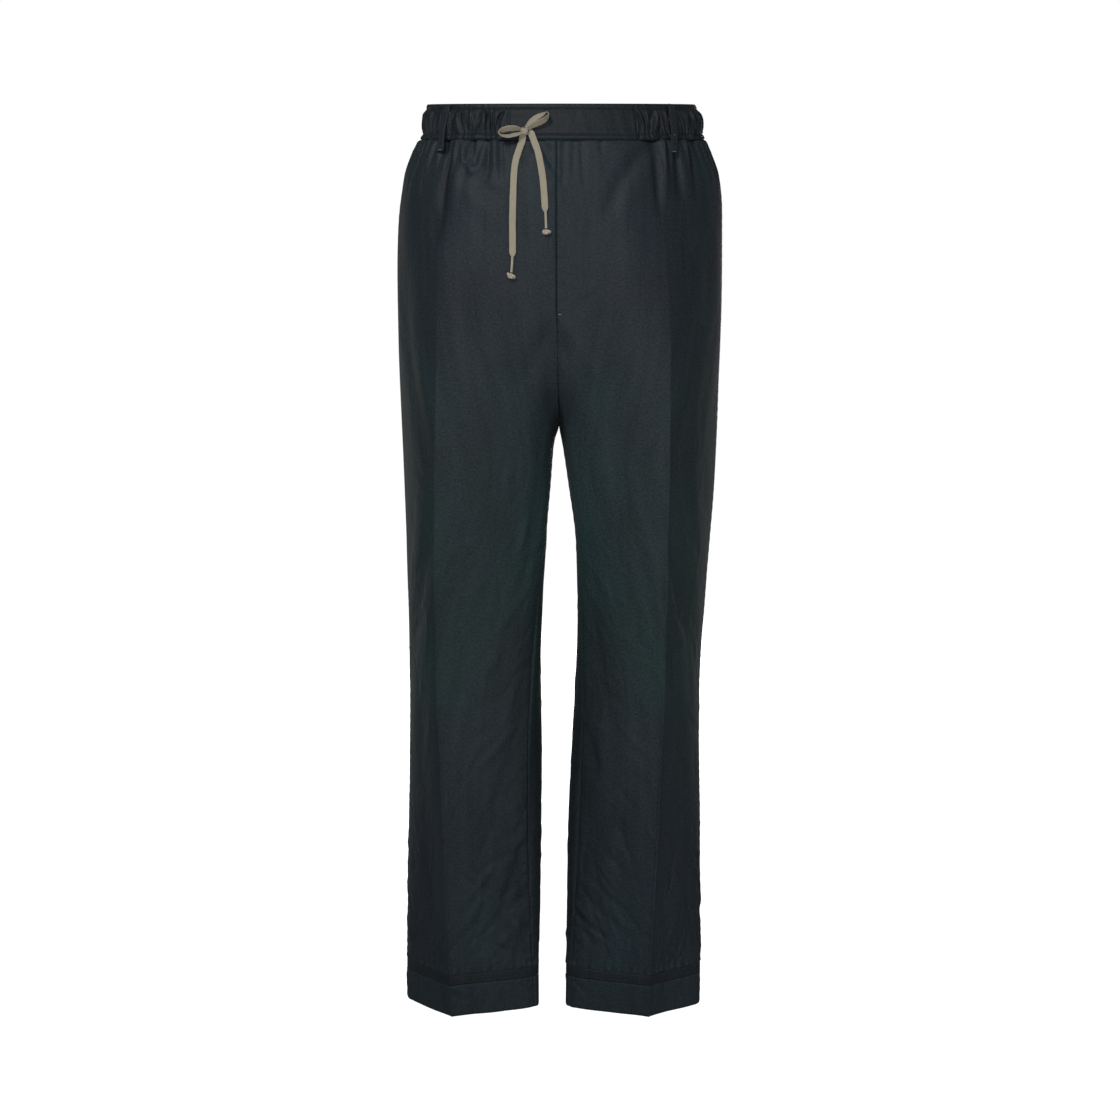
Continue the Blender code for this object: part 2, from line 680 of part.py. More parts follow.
def build_fly_facing():
    """The J-shaped fly extension, just inside the left front."""
    straight = np.linspace(FLY_START, FLY_BEND_DROP, FLY_STRAIGHT_ROWS + 1)
    rounded = np.linspace(FLY_BEND_DROP, FLY_END, FLY_ROUND_ROWS + 1)
    drops = [float(drop) for drop in straight] + [float(drop) for drop in rounded[1:]]
    row = [i / FLY_COLUMNS for i in range(FLY_COLUMNS + 1)]
    outer_rows = []
    inner_rows = []
    for drop in drops:
        start = read(DEPTHS, "middle", drop) + FLY_EDGE
        outer_row = []
        inner_row = []
        for along in row:
            across = start + along * fly_reach(drop)
            inside = CLOTH + FACING_GAP
            outer_row.append(spot(across, drop, -inside))
            inner_row.append(spot(across, drop, -inside - FACING_WALL))
        outer_rows.append(outer_row)
        inner_rows.append(inner_row)
    points, faces = wall_mesh(outer_rows, inner_rows, [row] * len(drops))
    add_object("fly_facing", points, faces, FACING_CLOTH)


def build_pocket_facing(name, side):
    """The strip behind the mouth of a side pocket, across the side seam."""
    drops = [POCKET_TOP] + [row for row in FALLING_ROWS if POCKET_TOP < row < POCKET_BOTTOM]
    drops.append(POCKET_BOTTOM)
    row = [-1.0, -0.5, 0.0, 0.5, 1.0]
    outer_rows = []
    inner_rows = []
    for drop in drops:
        outer_row = []
        inner_row = []
        for along in row:
            panel = "F" if along <= 0 else "B"
            share = 1 + along * POCKET_FACING_REACH if panel == "F" else along * POCKET_FACING_REACH
            inside = CLOTH + POCKET_FACING_GAP
            outer_row.append(laid_point(side, panel, share, drop, -inside))
            inner_row.append(laid_point(side, panel, share, drop, -inside - FACING_WALL))
        outer_rows.append(outer_row)
        inner_rows.append(inner_row)
    points, faces = wall_mesh(outer_rows, inner_rows, [row] * len(drops))
    add_object(name, points, faces, FACING_CLOTH)


def build_hem_band(name, side):
    """The narrow stitched band that runs round a leg above its hem."""
    outer_rows = []
    inner_rows = []
    shares = []
    for drop in (HEM_BAND_TOP, HEM_BAND_BOTTOM):
        outer_row = []
        inner_row = []
        marks = []
        for panel, offset in (("F", 0.0), ("B", 1.0)):
            for along in columns(side, panel, drop)[:-1]:
                outer_row.append(cloth_point(side, panel, along, drop, SEAM_GAP + HEM_BAND_WALL))
                inner_row.append(cloth_point(side, panel, along, drop, SEAM_GAP))
                marks.append((offset + along) / 2)
        outer_rows.append(outer_row)
        inner_rows.append(inner_row)
        shares.append(marks)
    points, faces = wall_mesh(outer_rows, inner_rows, shares, ring=True)
    add_object(name, points, faces, HEM_CLOTH)


def strip_mesh(centres, across_dirs, out_dirs, widths, wall):
    """A flat strip with a square end at each end, as points and faces."""
    points = []
    for centre, across, out, width in zip(centres, across_dirs, out_dirs, widths):
        half = across * (width / 2 * MM)
        rise = out * (wall * MM)
        points += [centre - half, centre + half, centre + half + rise, centre - half + rise]
    faces = [(3, 2, 1, 0)]
    last = 4 * (len(centres) - 1)
    faces.append((last, last + 1, last + 2, last + 3))
    for i in range(len(centres) - 1):
        base = 4 * i
        for corner in range(4):
            following = (corner + 1) % 4
            faces.append((base + corner, base + following, base + 4 + following, base + 4 + corner))
    return points, faces


def surface_axes(side, panel, along, drop):
    """Directions out of the cloth and along its width at a place."""
    base = cloth_point(side, panel, along, drop)
    out = (cloth_point(side, panel, along, drop, OUT_PROBE) - base).normalized()
    across = out.cross(Vector((0, 0, 1))).normalized()
    return out, across


def build_belt_loop(loop):
    """A belt loop from the waistband's top edge to a tack below the waist seam."""
    centres = []
    outs = []
    acrosses = []
    for i in range(LOOP_STEPS + 1):
        down = i / LOOP_STEPS
        drop = LOOP_TOP_DROP + (loop.bottom_drop - LOOP_TOP_DROP) * down
        if loop.panel == "F":
            place = loop.top_across + (loop.bottom_across - loop.top_across) * down
            along = front_share(loop.side, loop.side * place, drop)
        else:
            along = 1.0
        out, across = surface_axes(loop.side, loop.panel, along, drop)
        bow = LOOP_TOP_STAND_OFF + (LOOP_FOOT_STAND_OFF - LOOP_TOP_STAND_OFF) * down
        bow += LOOP_BOW * math.sin(math.pi * down)
        base = section(loop.side, drop)[loop.panel].at(along)
        centres.append(Vector(base * MM) + out * (bow * MM))
        outs.append(out)
        acrosses.append(across)
    points, faces = strip_mesh(centres, acrosses, outs, [LOOP_WIDTH] * len(centres), LOOP_WALL)
    add_object(loop.name, points, faces, BAND_CLOTH)


def rounded_lump(name, centre, size, colour, sides=10, rings=7):
    """A small rounded knot."""
    points = [centre + Vector((0, 0, size[2] / 2 * MM))]
    for ring in range(1, rings):
        polar = math.pi * ring / rings
        for step in range(sides):
            turn = 2 * math.pi * step / sides
            offset = Vector((
                math.sin(polar) * math.cos(turn) * size[0] / 2,
                math.sin(polar) * math.sin(turn) * size[1] / 2,
                math.cos(polar) * size[2] / 2,
            ))
            points.append(centre + offset * MM)
    points.append(centre - Vector((0, 0, size[2] / 2 * MM)))
    faces = []
    for step in range(sides):
        following = (step + 1) % sides
        faces.append((0, 1 + step, 1 + following))
        for ring in range(rings - 2):
            base = 1 + ring * sides
            faces.append((base + step, base + sides + step, base + sides + following, base + following))
        low = 1 + (rings - 2) * sides
        faces.append((low + step, len(points) - 1, low + following))
    add_object(name, points, faces, colour, CORD_ROUGHNESS)


def build_tail(name, route):
    """One free end of the tape, lying on the cloth and narrowing at its foot."""
    centres = []
    outs = []
    acrosses = []
    widths = []
    for i, place in enumerate(route):
        side = RIGHT if place.across < read(DEPTHS, "middle", place.drop) else LEFT
        along = front_share(side, place.across, place.drop)
        out, _ = surface_axes(side, "F", along, place.drop)
        centres.append(spot(place.across, place.drop, TAPE_STAND_OFF))
        outs.append(out)
        before = route[max(i - 1, 0)]
        after = route[min(i + 1, len(route) - 1)]
        run = Vector((after.across - before.across, 0, before.drop - after.drop)).normalized()
        acrosses.append(run.cross(out).normalized())
        widths.append(TAPE_WIDTH if i < len(route) - 1 else TAPE_WIDTH * TAPE_TIP_SHARE)
    points, faces = strip_mesh(centres, acrosses, outs, widths, TAPE_WALL)
    add_object(name, points, faces, TAPE_COLOUR, CORD_ROUGHNESS)


def tube_mesh(centres, radius, sides=8):
    """A round cord through a few points, closed at both ends."""
    points = []
    for i, centre in enumerate(centres):
        run = (centres[min(i + 1, len(centres) - 1)] - centres[max(i - 1, 0)]).normalized()
        first = run.cross(Vector((0, 1, 0))).normalized()
        second = run.cross(first).normalized()
        for step in range(sides):
            turn = 2 * math.pi * step / sides
            points.append(centre + (first * math.cos(turn) + second * math.sin(turn)) * radius * MM)
    faces = [tuple(range(sides)), tuple(range(len(points) - 1, len(points) - 1 - sides, -1))]
    for i in range(len(centres) - 1):
        for step in range(sides):
            following = (step + 1) % sides
            base = i * sides
            faces.append((base + step, base + sides + step, base + sides + following, base + following))
    return points, faces


def build_cord_end(hand, route):
    """The thin cord below a tail and the knot at its end."""
    centres = [spot(place.across, place.drop, TAPE_STAND_OFF + CORD_RADIUS / 2) for place in route]
    points, faces = tube_mesh(centres, CORD_RADIUS)
    add_object("drawstring_cord_" + hand, points, faces, CORD_COLOUR, CORD_ROUGHNESS)
    last = route[-1]
    foot = spot(last.across, last.drop, END_KNOT_SIZE[1] / 2 + END_KNOT_STAND_OFF)
    centre = foot - Vector((0, 0, (END_KNOT_SIZE[2] / 2 + END_KNOT_DROP) * MM))
    rounded_lump("drawstring_end_" + hand, centre, END_KNOT_SIZE, CORD_COLOUR, sides=8, rings=6)


def box_strip(centres, wides, widths, wall):
    """A flat tape through its middle line, as points and faces."""
    outs = []
    acrosses = []
    starts = []
    for i, (centre, wide) in enumerate(zip(centres, wides)):
        run = centres[min(i + 1, len(centres) - 1)] - centres[max(i - 1, 0)]
        across = (wide - run * (wide.dot(run) / run.length_squared)).normalized()
        out = run.cross(across).normalized()
        acrosses.append(across)
        outs.append(out)
        starts.append(centre - out * (wall / 2 * MM))
    return strip_mesh(starts, acrosses, outs, widths, wall)


def build_bow_loop(name, route, lean=None):
    """One loop of the bow: a tape that leaves the knot, turns and comes back to it.

    Where a lean is given, the tape's width keeps that direction, in degrees above level.
    """
    knot_back = spot(KNOT_ACROSS, KNOT_DROP, 0.0)
    centres = [knot_back + Vector((place.across, -place.out, place.up)) * MM for place in route]
    wides = []
    for i, place in enumerate(route):
        run = centres[min(i + 1, len(centres) - 1)] - centres[max(i - 1, 0)]
        if lean is None:
            flat = run.cross(OUTWARD).normalized()
        else:
            flat = Vector((math.cos(math.radians(lean)), 0, math.sin(math.radians(lean))))
        angle = math.radians(place.face)
        wides.append(flat * math.sin(angle) + OUTWARD * math.cos(angle))
    widths = [LOOP_END_WIDTH] + [TAPE_WIDTH] * (len(centres) - 2) + [LOOP_END_WIDTH]
    points, faces = box_strip(centres, wides, widths, TAPE_WALL)
    add_object(name, points, faces, TAPE_COLOUR, CORD_ROUGHNESS)


def build_drawstring():
    """The tape's bow, its two tails, and the cord and knot at each end."""
    knot_centre = spot(KNOT_ACROSS, KNOT_DROP, KNOT_SIZE[1] / 2 + SEAM_GAP)
    rounded_lump("drawstring_knot", knot_centre, KNOT_SIZE, TAPE_COLOUR)
    build_bow_loop("drawstring_loop_right", RIGHT_LOOP)
    build_bow_loop("drawstring_loop_left", LEFT_LOOP, LEFT_LOOP_LEAN)
    build_tail("drawstring_tail_right", RIGHT_TAIL)
    build_tail("drawstring_tail_left", LEFT_TAIL)
    build_cord_end("right", RIGHT_CORD)
    build_cord_end("left", LEFT_CORD)


def main():
    """Build every piece of the garment."""
    for item in list(bpy.data.objects):
        bpy.data.objects.remove(item)
    build_panel("front_right", RIGHT, "F")
    build_panel("front_left", LEFT, "F")
    build_panel("back_right", RIGHT, "B")
    build_panel("back_left", LEFT, "B")
    build_waistband()
    build_fly_facing()
    build_pocket_facing("pocket_facing_right", RIGHT)
    build_pocket_facing("pocket_facing_left", LEFT)
    build_hem_band("hem_band_right", RIGHT)
    build_hem_band("hem_band_left", LEFT)
    for loop in LOOPS:
        build_belt_loop(loop)
    build_drawstring()


main()
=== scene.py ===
"""The looks of drawstring trousers: lustrous cloth, gathered waistband, stitching and drawstring.

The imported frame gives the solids. Each piece of cloth here is a thin shell on its solid's form,
worked out from the same tables of sizes as the part's own source. Table values are millimetres:
"drop" is measured down from the waistband's top edge and "across" from the middle, and the
wearer's right side is -X. Everything that reaches Blender is in metres.
"""
import logging
import math
from dataclasses import dataclass, field
from enum import Enum
from functools import lru_cache
from typing import NamedTuple, Optional, Sequence

import bpy
import numpy as np
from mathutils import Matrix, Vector

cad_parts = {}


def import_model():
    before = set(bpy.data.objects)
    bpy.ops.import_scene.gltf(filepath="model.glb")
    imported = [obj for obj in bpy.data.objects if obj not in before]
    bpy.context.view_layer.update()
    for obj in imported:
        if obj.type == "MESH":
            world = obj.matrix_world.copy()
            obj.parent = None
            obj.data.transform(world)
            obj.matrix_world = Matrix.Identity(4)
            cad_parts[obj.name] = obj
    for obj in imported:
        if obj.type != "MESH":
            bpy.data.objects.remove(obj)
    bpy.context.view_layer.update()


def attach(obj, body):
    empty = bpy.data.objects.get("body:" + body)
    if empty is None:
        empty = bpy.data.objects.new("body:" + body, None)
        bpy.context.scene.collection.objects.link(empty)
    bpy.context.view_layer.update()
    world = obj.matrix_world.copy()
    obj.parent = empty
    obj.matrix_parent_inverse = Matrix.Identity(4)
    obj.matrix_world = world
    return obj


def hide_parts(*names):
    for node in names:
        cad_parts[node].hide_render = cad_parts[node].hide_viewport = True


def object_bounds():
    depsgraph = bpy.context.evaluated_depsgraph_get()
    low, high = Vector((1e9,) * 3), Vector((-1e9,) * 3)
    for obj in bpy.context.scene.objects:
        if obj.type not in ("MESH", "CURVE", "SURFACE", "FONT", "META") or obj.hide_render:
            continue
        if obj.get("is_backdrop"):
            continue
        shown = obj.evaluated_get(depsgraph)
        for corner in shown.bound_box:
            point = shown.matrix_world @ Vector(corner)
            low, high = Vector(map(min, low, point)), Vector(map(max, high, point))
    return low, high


LOG = logging.getLogger("trousers")
MM = 0.001

# Driving dimensions, in millimetres, as in the part's source
OUTSEAM = 1050.0
BAND_HEIGHT = 39.0
CROTCH_DROP = 363.0
WAIST_TILT = 0.05
TILT_END_DROP = 260.0
FLAT_FRONT_RIGHT = 54.0
FLAT_FRONT_LEFT = 85.0
HEADER_DROP = 5.5
BAND_STITCH_DROP = 33.5
HEM_BAND_TOP = 1000.5
HEM_BAND_BOTTOM = 1012.5
FLY_WIDTH = 31.0
FLY_START = 41.0
FLY_BEND_DROP = 196.0
FLY_END = 233.0

# Points along each stretch of a section
STEPS = 60

# Chances of the gathers: the golden ratio spreads them, and the back starts further along
GOLDEN = 0.618034
BACK_FOLD_SHIFT = 30

Colour = tuple[float, float, float]
Place = tuple[float, float, float]


class Side(Enum):
    """The wearer's side of the garment, with the sign of its X."""

    RIGHT = -1
    LEFT = 1


class Face(Enum):
    """Front or back of a leg."""

    FRONT = "front"
    BACK = "back"


class Outline(NamedTuple):
    """How far out each line of a side lies at a drop, seen from the front."""

    drop: float
    outer: float
    inner: float
    crease: float
    back_crease: float
    inset: float
    side: float


class Depth(NamedTuple):
    """How far back each line of the garment lies at a drop."""

    drop: float
    middle: float
    centre_front: float
    crease: float
    back_crease: float
    centre_back: float


class Bend(NamedTuple):
    """Headings of the cloth at its creases, and how sharply it turns there."""

    drop: float
    front: float
    front_corner: float
    back: float
    back_corner: float
    front_valley: float
    back_valley: float
    full: float


RIGHT_SIDE = (
    Outline(0, 150, 0, 108, 108, 0, 2),
    Outline(18, 153.5, 0, 111, 110, 0, 2),
    Outline(32, 154.5, 0, 114, 112, 0, 2),
    Outline(40, 158.5, 0, 116, 113, 0, 2),
    Outline(54, 166, 0, 120, 116, 0, 2),
    Outline(80, 176, 0, 125, 118, 0, 3),
    Outline(108, 181, 0, 129, 118, 0, 3),
    Outline(135, 183.8, 0, 131, 116, 0, 4),
    Outline(220, 186, 0, 135, 108, 0, 5),
    Outline(300, 184.5, 0, 137, 96, 0, 7),
    Outline(363, 181.5, 0.15, 138, 82, 0, 8),
    Outline(384, 180.5, 5.5, 138.5, 78, 0, 8),
    Outline(430, 179.5, 9.3, 139.5, 71, 0, 9),
    Outline(500, 177.8, 14.8, 140, 66, 0.5, 10),
    Outline(571, 176, 19.8, 139.8, 64, 4.6, 10),
    Outline(674, 175.3, 21.2, 138.5, 62, 11, 10),
    Outline(740, 176, 20.3, 136, 64, 15, 10),
    Outline(835, 178, 20, 132.5, 68, 16, 10),
    Outline(932, 180, 21.4, 129, 74, 12, 11),
    Outline(1000, 181.5, 23.8, 126, 79, 7, 12),
    Outline(1050, 181.8, 24, 125, 81, 4, 13),
)
LEFT_SIDE = (
    Outline(0, 155, 0, 108, 112, 0, 2),
    Outline(18, 161.5, 0, 110, 114, 0, 2),
    Outline(32, 163, 0, 111, 116, 0, 2),
    Outline(40, 166, 0, 112, 117, 0, 2),
    Outline(54, 172.5, 0, 113, 119, 0, 2),
    Outline(80, 182.5, 0, 114, 120, 0, 3),
    Outline(108, 186.8, 0, 114.5, 118, 0, 3),
    Outline(135, 187, 0, 115, 116, 0, 4),
    Outline(220, 187, 0, 122.5, 106, 0, 5),
    Outline(300, 186, 0, 124.5, 94, 0, 7),
    Outline(363, 182.8, 0.15, 124.7, 84, 0, 8),
    Outline(384, 183, 3, 124.6, 81, 0, 8),
    Outline(430, 180.8, 9.8, 124, 78, 0, 9),
    Outline(500, 176, 19, 122.5, 75, 0.5, 10),
    Outline(571, 170.5, 21.2, 121.5, 72, 3, 10),
    Outline(674, 165.5, 19, 119.4, 66, 9, 9),
    Outline(740, 165.3, 15.5, 117, 66, 11, 6),
    Outline(835, 166.8, 10.7, 113.5, 64, 11.5, 1),
    Outline(932, 167.4, 8.4, 108.5, 68, 9.5, -5),
    Outline(1000, 167.6, 8.2, 105.5, 70, 6, -9),
    Outline(1050, 167, 7.5, 104.4, 71.5, 4, -11),
)
OUTLINES = {Side.RIGHT: RIGHT_SIDE, Side.LEFT: LEFT_SIDE}
DEPTHS = (
    Depth(0, -2, -98, -73, 74, 102),
    Depth(40, -2, -104, -79, 81, 109),
    Depth(80, -2, -111, -87, 92, 120),
    Depth(135, -2, -117, -97, 108, 134),
    Depth(190, -2, -119, -103, 119, 141),
    Depth(235, -2, -116, -106, 125, 139),
    Depth(280, -1.4, -103, -107, 126, 124),
    Depth(312, -0.9, -84, -106, 124, 101),
    Depth(336, -0.5, -58, -105, 121, 71),
    Depth(350, -0.2, -35, -104, 118, 45),
    Depth(358, -0.1, -16, -103.5, 117, 25),
    Depth(363, 0, 4.85, -103, 116, 5.15),
    Depth(430, 0, 0, -98, 107, 0),
    Depth(500, 0, -3, -92, 99, -3),
    Depth(590, 0, -6, -86, 91, -6),
    Depth(674, 0, -9, -81, 86, -9),
    Depth(790, 0, -12, -76, 82, -12),
    Depth(908, 0, -16, -73, 79, -16),
    Depth(1050, 0, -20, -70, 78, -20),
)
BENDS = (
    Bend(0, 33, 0, 147, 0, 0, 0, 1.0),
    Bend(100, 36, 1, 147, 0, 0, 0, 1.0),
    Bend(200, 36, 7, 148, 3, 0, 0, 1.0),
    Bend(240, 34, 10, 151, 5, 6, 0, 1.0),
    Bend(280, 31, 14, 158, 8, 26, 16, 1.0),
    Bend(312, 28, 17, 166, 11, 48, 40, 1.0),
    Bend(336, 25, 19, 172, 14, 68, 66, 1.0),
    Bend(350, 24, 20, 176, 15, 79, 79, 1.0),
    Bend(358, 23, 21, 179, 16, 86, 86, 1.0),
    Bend(363, 23, 21, 180, 17, 90, 90, 1.0),
    Bend(430, 21, 24, 188, 20, 90, 90, 0.97),
    Bend(590, 18, 30, 196, 27, 90, 90, 0.9),
    Bend(790, 15, 36, 198, 33, 90, 90, 0.75),
    Bend(1050, 13, 41, 198, 38, 90, 90, 0.55),
)


class LongFold(NamedTuple):
    """A long soft fold: the share of a panel's width at its top, and how far it drifts from there."""

    side: Side
    face: Face
    along: float
    top: float
    bottom: float
    width: float
    height: float
    drift: float


# Short names for the tables
R, L, F, B = Side.RIGHT, Side.LEFT, Face.FRONT, Face.BACK
LONG_FOLDS = (
    LongFold(R, F, 0.84, 130, 330, 0.07, 2.2, 0.02),
    LongFold(R, F, 0.50, 120, 250, 0.09, 1.6, -0.05),
    LongFold(R, F, 0.34, 250, 520, 0.12, 2.4, 0.14),
    LongFold(R, F, 0.30, 560, 860, 0.10, 2.0, 0.16),
    LongFold(R, F, 0.86, 470, 800, 0.08, 1.4, -0.03),
    LongFold(L, F, 0.86, 120, 310, 0.07, 2.0, 0.03),
    LongFold(L, F, 0.44, 150, 360, 0.12, 2.0, 0.10),
    LongFold(L, F, 0.30, 420, 700, 0.11, 2.2, 0.12),
    LongFold(L, F, 0.36, 700, 940, 0.10, 1.6, 0.12),
    LongFold(R, B, 0.30, 120, 360, 0.09, 2.2, 0.05),
    LongFold(R, B, 0.62, 360, 560, 0.10, 2.6, -0.10),
    LongFold(R, B, 0.34, 600, 900, 0.10, 2.0, -0.08),
    LongFold(L, B, 0.28, 130, 340, 0.09, 2.2, 0.04),
    LongFold(L, B, 0.60, 370, 590, 0.10, 2.4, -0.09),
    LongFold(L, B, 0.36, 640, 930, 0.10, 1.8, -0.06),
)


class DragFold(NamedTuple):
    """A smaller fold along a few places, each given as across and drop: a ridge, or below 0 a trough."""

    face: Face
    width: float
    height: float
    places: tuple[tuple[float, float], ...]


DRAG_FOLDS = (
    DragFold(F, 5, 1.2, ((-142.6, 40), (-146.7, 69), (-155, 100))),
    DragFold(F, 6, -2.2, ((-126, 38), (-123.2, 60), (-128.8, 105), (-134.2, 156))),
    DragFold(F, 7, 1.4, ((-113.5, 41), (-115, 80), (-118, 110))),
    DragFold(F, 4, 1.7, ((-107, 42), (-104, 62), (-96, 74), (-87, 69), (-84, 50))),
    DragFold(F, 3.5, -1.5, ((-94, 39), (-93, 64))),
    DragFold(F, 4, -1.4, ((-77.6, 40), (-78.1, 73), (-84, 88))),
    DragFold(F, 4, 1.2, ((-71, 41), (-70.7, 72))),
    DragFold(F, 3.5, -1.1, ((-64.6, 40), (-63.8, 69), (-62.4, 84))),
    DragFold(F, 2.6, -0.8, ((-57, 40), (-56.5, 56))),
    DragFold(F, 2.6, -0.8, ((-44.5, 40), (-45.9, 61))),
    DragFold(F, 3, -1.0, ((-39, 39), (-37.6, 70))),
    DragFold(F, 2.6, -0.8, ((-32, 40), (-33.4, 58))),
    DragFold(F, 3.2, -1.2, ((-22.4, 41), (-7.2, 70))),
    DragFold(F, 3.2, 1.0, ((-26.5, 45), (-8.6, 78))),
    DragFold(F, 2.6, -1.0, ((-16.4, 40), (-5.8, 58))),
    DragFold(F, 9, -1.6, ((-97, 81), (-77.6, 97), (-58.3, 108))),
    DragFold(F, 12, 1.5, ((-119, 80), (-88.7, 108), (-61, 133))),
    DragFold(F, 7, -1.4, ((-155, 80), (-157.7, 114), (-153.6, 184))),
    DragFold(F, 5, -1.1, ((-139.8, 112), (-139, 165))),
    DragFold(F, 2.6, -0.7, ((5.2, 40), (4.4, 91))),
    DragFold(F, 3.5, -0.6, ((16.3, 40), (14.9, 80))),
    DragFold(F, 3, -0.7, ((24.5, 41), (27.5, 92))),
    DragFold(F, 2.6, -0.5, ((45.3, 39), (46.7, 55))),
    DragFold(F, 9, -1.3, ((101.9, 39), (68.8, 80), (52.2, 120))),
    DragFold(F, 11, 1.2, ((99, 60), (77, 105), (60.5, 145))),
    DragFold(F, 4.5, -1.8, ((104.6, 40), (108.8, 80), (111.5, 122))),
    DragFold(F, 5, 1.3, ((115.8, 42), (118.4, 108))),
    DragFold(F, 4.5, -1.6, ((129.5, 43), (135, 106))),
    DragFold(F, 4.5, 1.2, ((139, 42), (146, 100))),
    DragFold(F, 4.5, -1.3, ((147.5, 42), (154.4, 112))),
    DragFold(F, 8, 1.2, ((5.2, 242), (21.8, 268), (41.2, 311))),
    DragFold(F, 5, -1.2, ((2.4, 257), (10.8, 292))),
    DragFold(F, 8, -1.3, ((-5.8, 240), (-22.4, 271), (-39, 311))),
    DragFold(F, 13, 1.0, ((-33.4, 240), (-44.5, 291))),
    DragFold(F, 2.4, -0.6, ((14.9, 229), (49.4, 204))),
    DragFold(F, 3.5, 1.0, ((107.4, 366), (99, 392))),
    DragFold(F, 1.8, -0.4, ((77.6, 428), (77.6, 531))),
    DragFold(F, 3, -0.8, ((115.8, 508), (116, 565))),
    DragFold(F, 6, 0.8, ((41, 574), (77, 548))),
    DragFold(F, 4, -0.8, ((88, 565), (90, 622))),
    DragFold(F, 6, 0.9, ((43.8, 673), (66, 651))),
    DragFold(F, 4, 1.1, ((-34.8, 466), (-43, 504))),
    DragFold(F, 3, 0.8, ((-29, 517), (-33, 533))),
    DragFold(F, 5, -0.7, ((-108, 474), (-103, 505), (-105, 540))),
    DragFold(F, 6, 1.0, ((-41.7, 559), (-61, 585), (-72, 611))),
    DragFold(F, 6, 0.9, ((-66.6, 616), (-83, 646))),
    DragFold(F, 9, -1.6, ((-41.7, 696), (-66.6, 773), (-77.6, 827))),
    DragFold(F, 7, 1.2, ((-47.2, 787), (-56.9, 856), (-69.3, 896))),
    DragFold(F, 5, 0.9, ((-52.8, 713), (-88.7, 753))),
    DragFold(F, 4.5, 1.3, ((-37.6, 833), (-52.8, 856), (-58.3, 879))),
    DragFold(F, 6, -1.5, ((-50, 879), (-66.6, 927), (-69.3, 960))),
    DragFold(F, 6, 1.2, ((-41.7, 926), (-50, 955))),
    DragFold(F, 6, -1.0, ((-157.7, 856), (-146.7, 947))),
    DragFold(F, 7, 0.8, ((61.9, 839), (52.2, 896))),
    DragFold(F, 6, -1.2, ((38.4, 722), (43.9, 773))),
    DragFold(B, 9, -1.8, ((-8, 265), (-40, 330), (-62, 372))),
    DragFold(B, 10, 1.8, ((-20, 250), (-56, 305), (-90, 345))),
    DragFold(B, 9, -1.6, ((9, 268), (43, 328), (70, 366))),
    DragFold(B, 10, 1.6, ((22, 252), (60, 300), (96, 338))),
    DragFold(B, 6, -1.0, ((-104, 470), (-60, 505))),
    DragFold(B, 6, 1.1, ((-110, 490), (-66, 528))),
    DragFold(B, 6, -1.0, ((98, 480), (52, 512))),
    DragFold(B, 6, 1.0, ((104, 500), (60, 534))),
    DragFold(B, 7, -1.2, ((-60, 700), (-92, 770), (-98, 830))),
    DragFold(B, 7, 1.2, ((48, 720), (80, 790), (90, 860))),
)


def smooth_step(value: np.ndarray) -> np.ndarray:
    """Ease from 0 to 1 as the value goes from 0 to 1."""
    value = np.clip(value, 0.0, 1.0)
    return value * value * (3 - 2 * value)


def bell(distance: np.ndarray, width: float) -> np.ndarray:
    """A soft hump, 1 at no distance and gone at about two widths."""
    return np.exp(-((distance / width) ** 2))


def unit(vectors: np.ndarray) -> np.ndarray:
    """Vectors of length 1 that point the same ways."""
    return vectors / np.linalg.norm(vectors, axis=-1, keepdims=True)


def travelled(points: np.ndarray) -> np.ndarray:
    """Distance along a line at each of its points."""
    steps = np.linalg.norm(np.diff(points, axis=0), axis=1)
    return np.concatenate([[0.0], np.cumsum(steps)])


def read(table: Sequence[NamedTuple], column: str, drop: float) -> float:
    """Read a table's column at any drop, on a smooth curve that never overshoots its rows.

    Args:
        table: Rows with a drop and named columns.
        column: The column's name.
        drop: Where to read it.

    Returns:
        The column's value there.
    """
    drops = [row.drop for row in table]
    values = [getattr(row, column) for row in table]
    drop = min(max(drop, drops[0]), drops[-1])
    last = len(table) - 1
    index = min(int(np.searchsorted(drops, drop, side="right")) - 1, last - 1)
    slopes = [(values[i + 1] - values[i]) / (drops[i + 1] - drops[i]) for i in range(last)]

    def tangent(row: int) -> float:
        """Slope of the curve at a row.

        Args:
            row: The row's number.

        Returns:
            The slope.
        """
        if row in (0, last):
            return slopes[0] if row == 0 else slopes[-1]
        before, after = slopes[row - 1], slopes[row]
        return 0.0 if before * after <= 0 else 2 * before * after / (before + after)

    span = drops[index + 1] - drops[index]
    t = (drop - drops[index]) / span
    return (
        (1 + 2 * t) * (1 - t) ** 2 * values[index]
        + t * (1 - t) ** 2 * span * tangent(index)
        + t * t * (3 - 2 * t) * values[index + 1]
        + t * t * (t - 1) * span * tangent(index + 1)
    )


def height_at(drop: float, depth: np.ndarray) -> np.ndarray:
    """Height of places at a drop; the waist tips down a little towards the front."""
    fade = 1 - smooth_step((drop - BAND_HEIGHT) / (TILT_END_DROP - BAND_HEIGHT))
    return BAND_HEIGHT / 2 - drop + WAIST_TILT * fade * depth


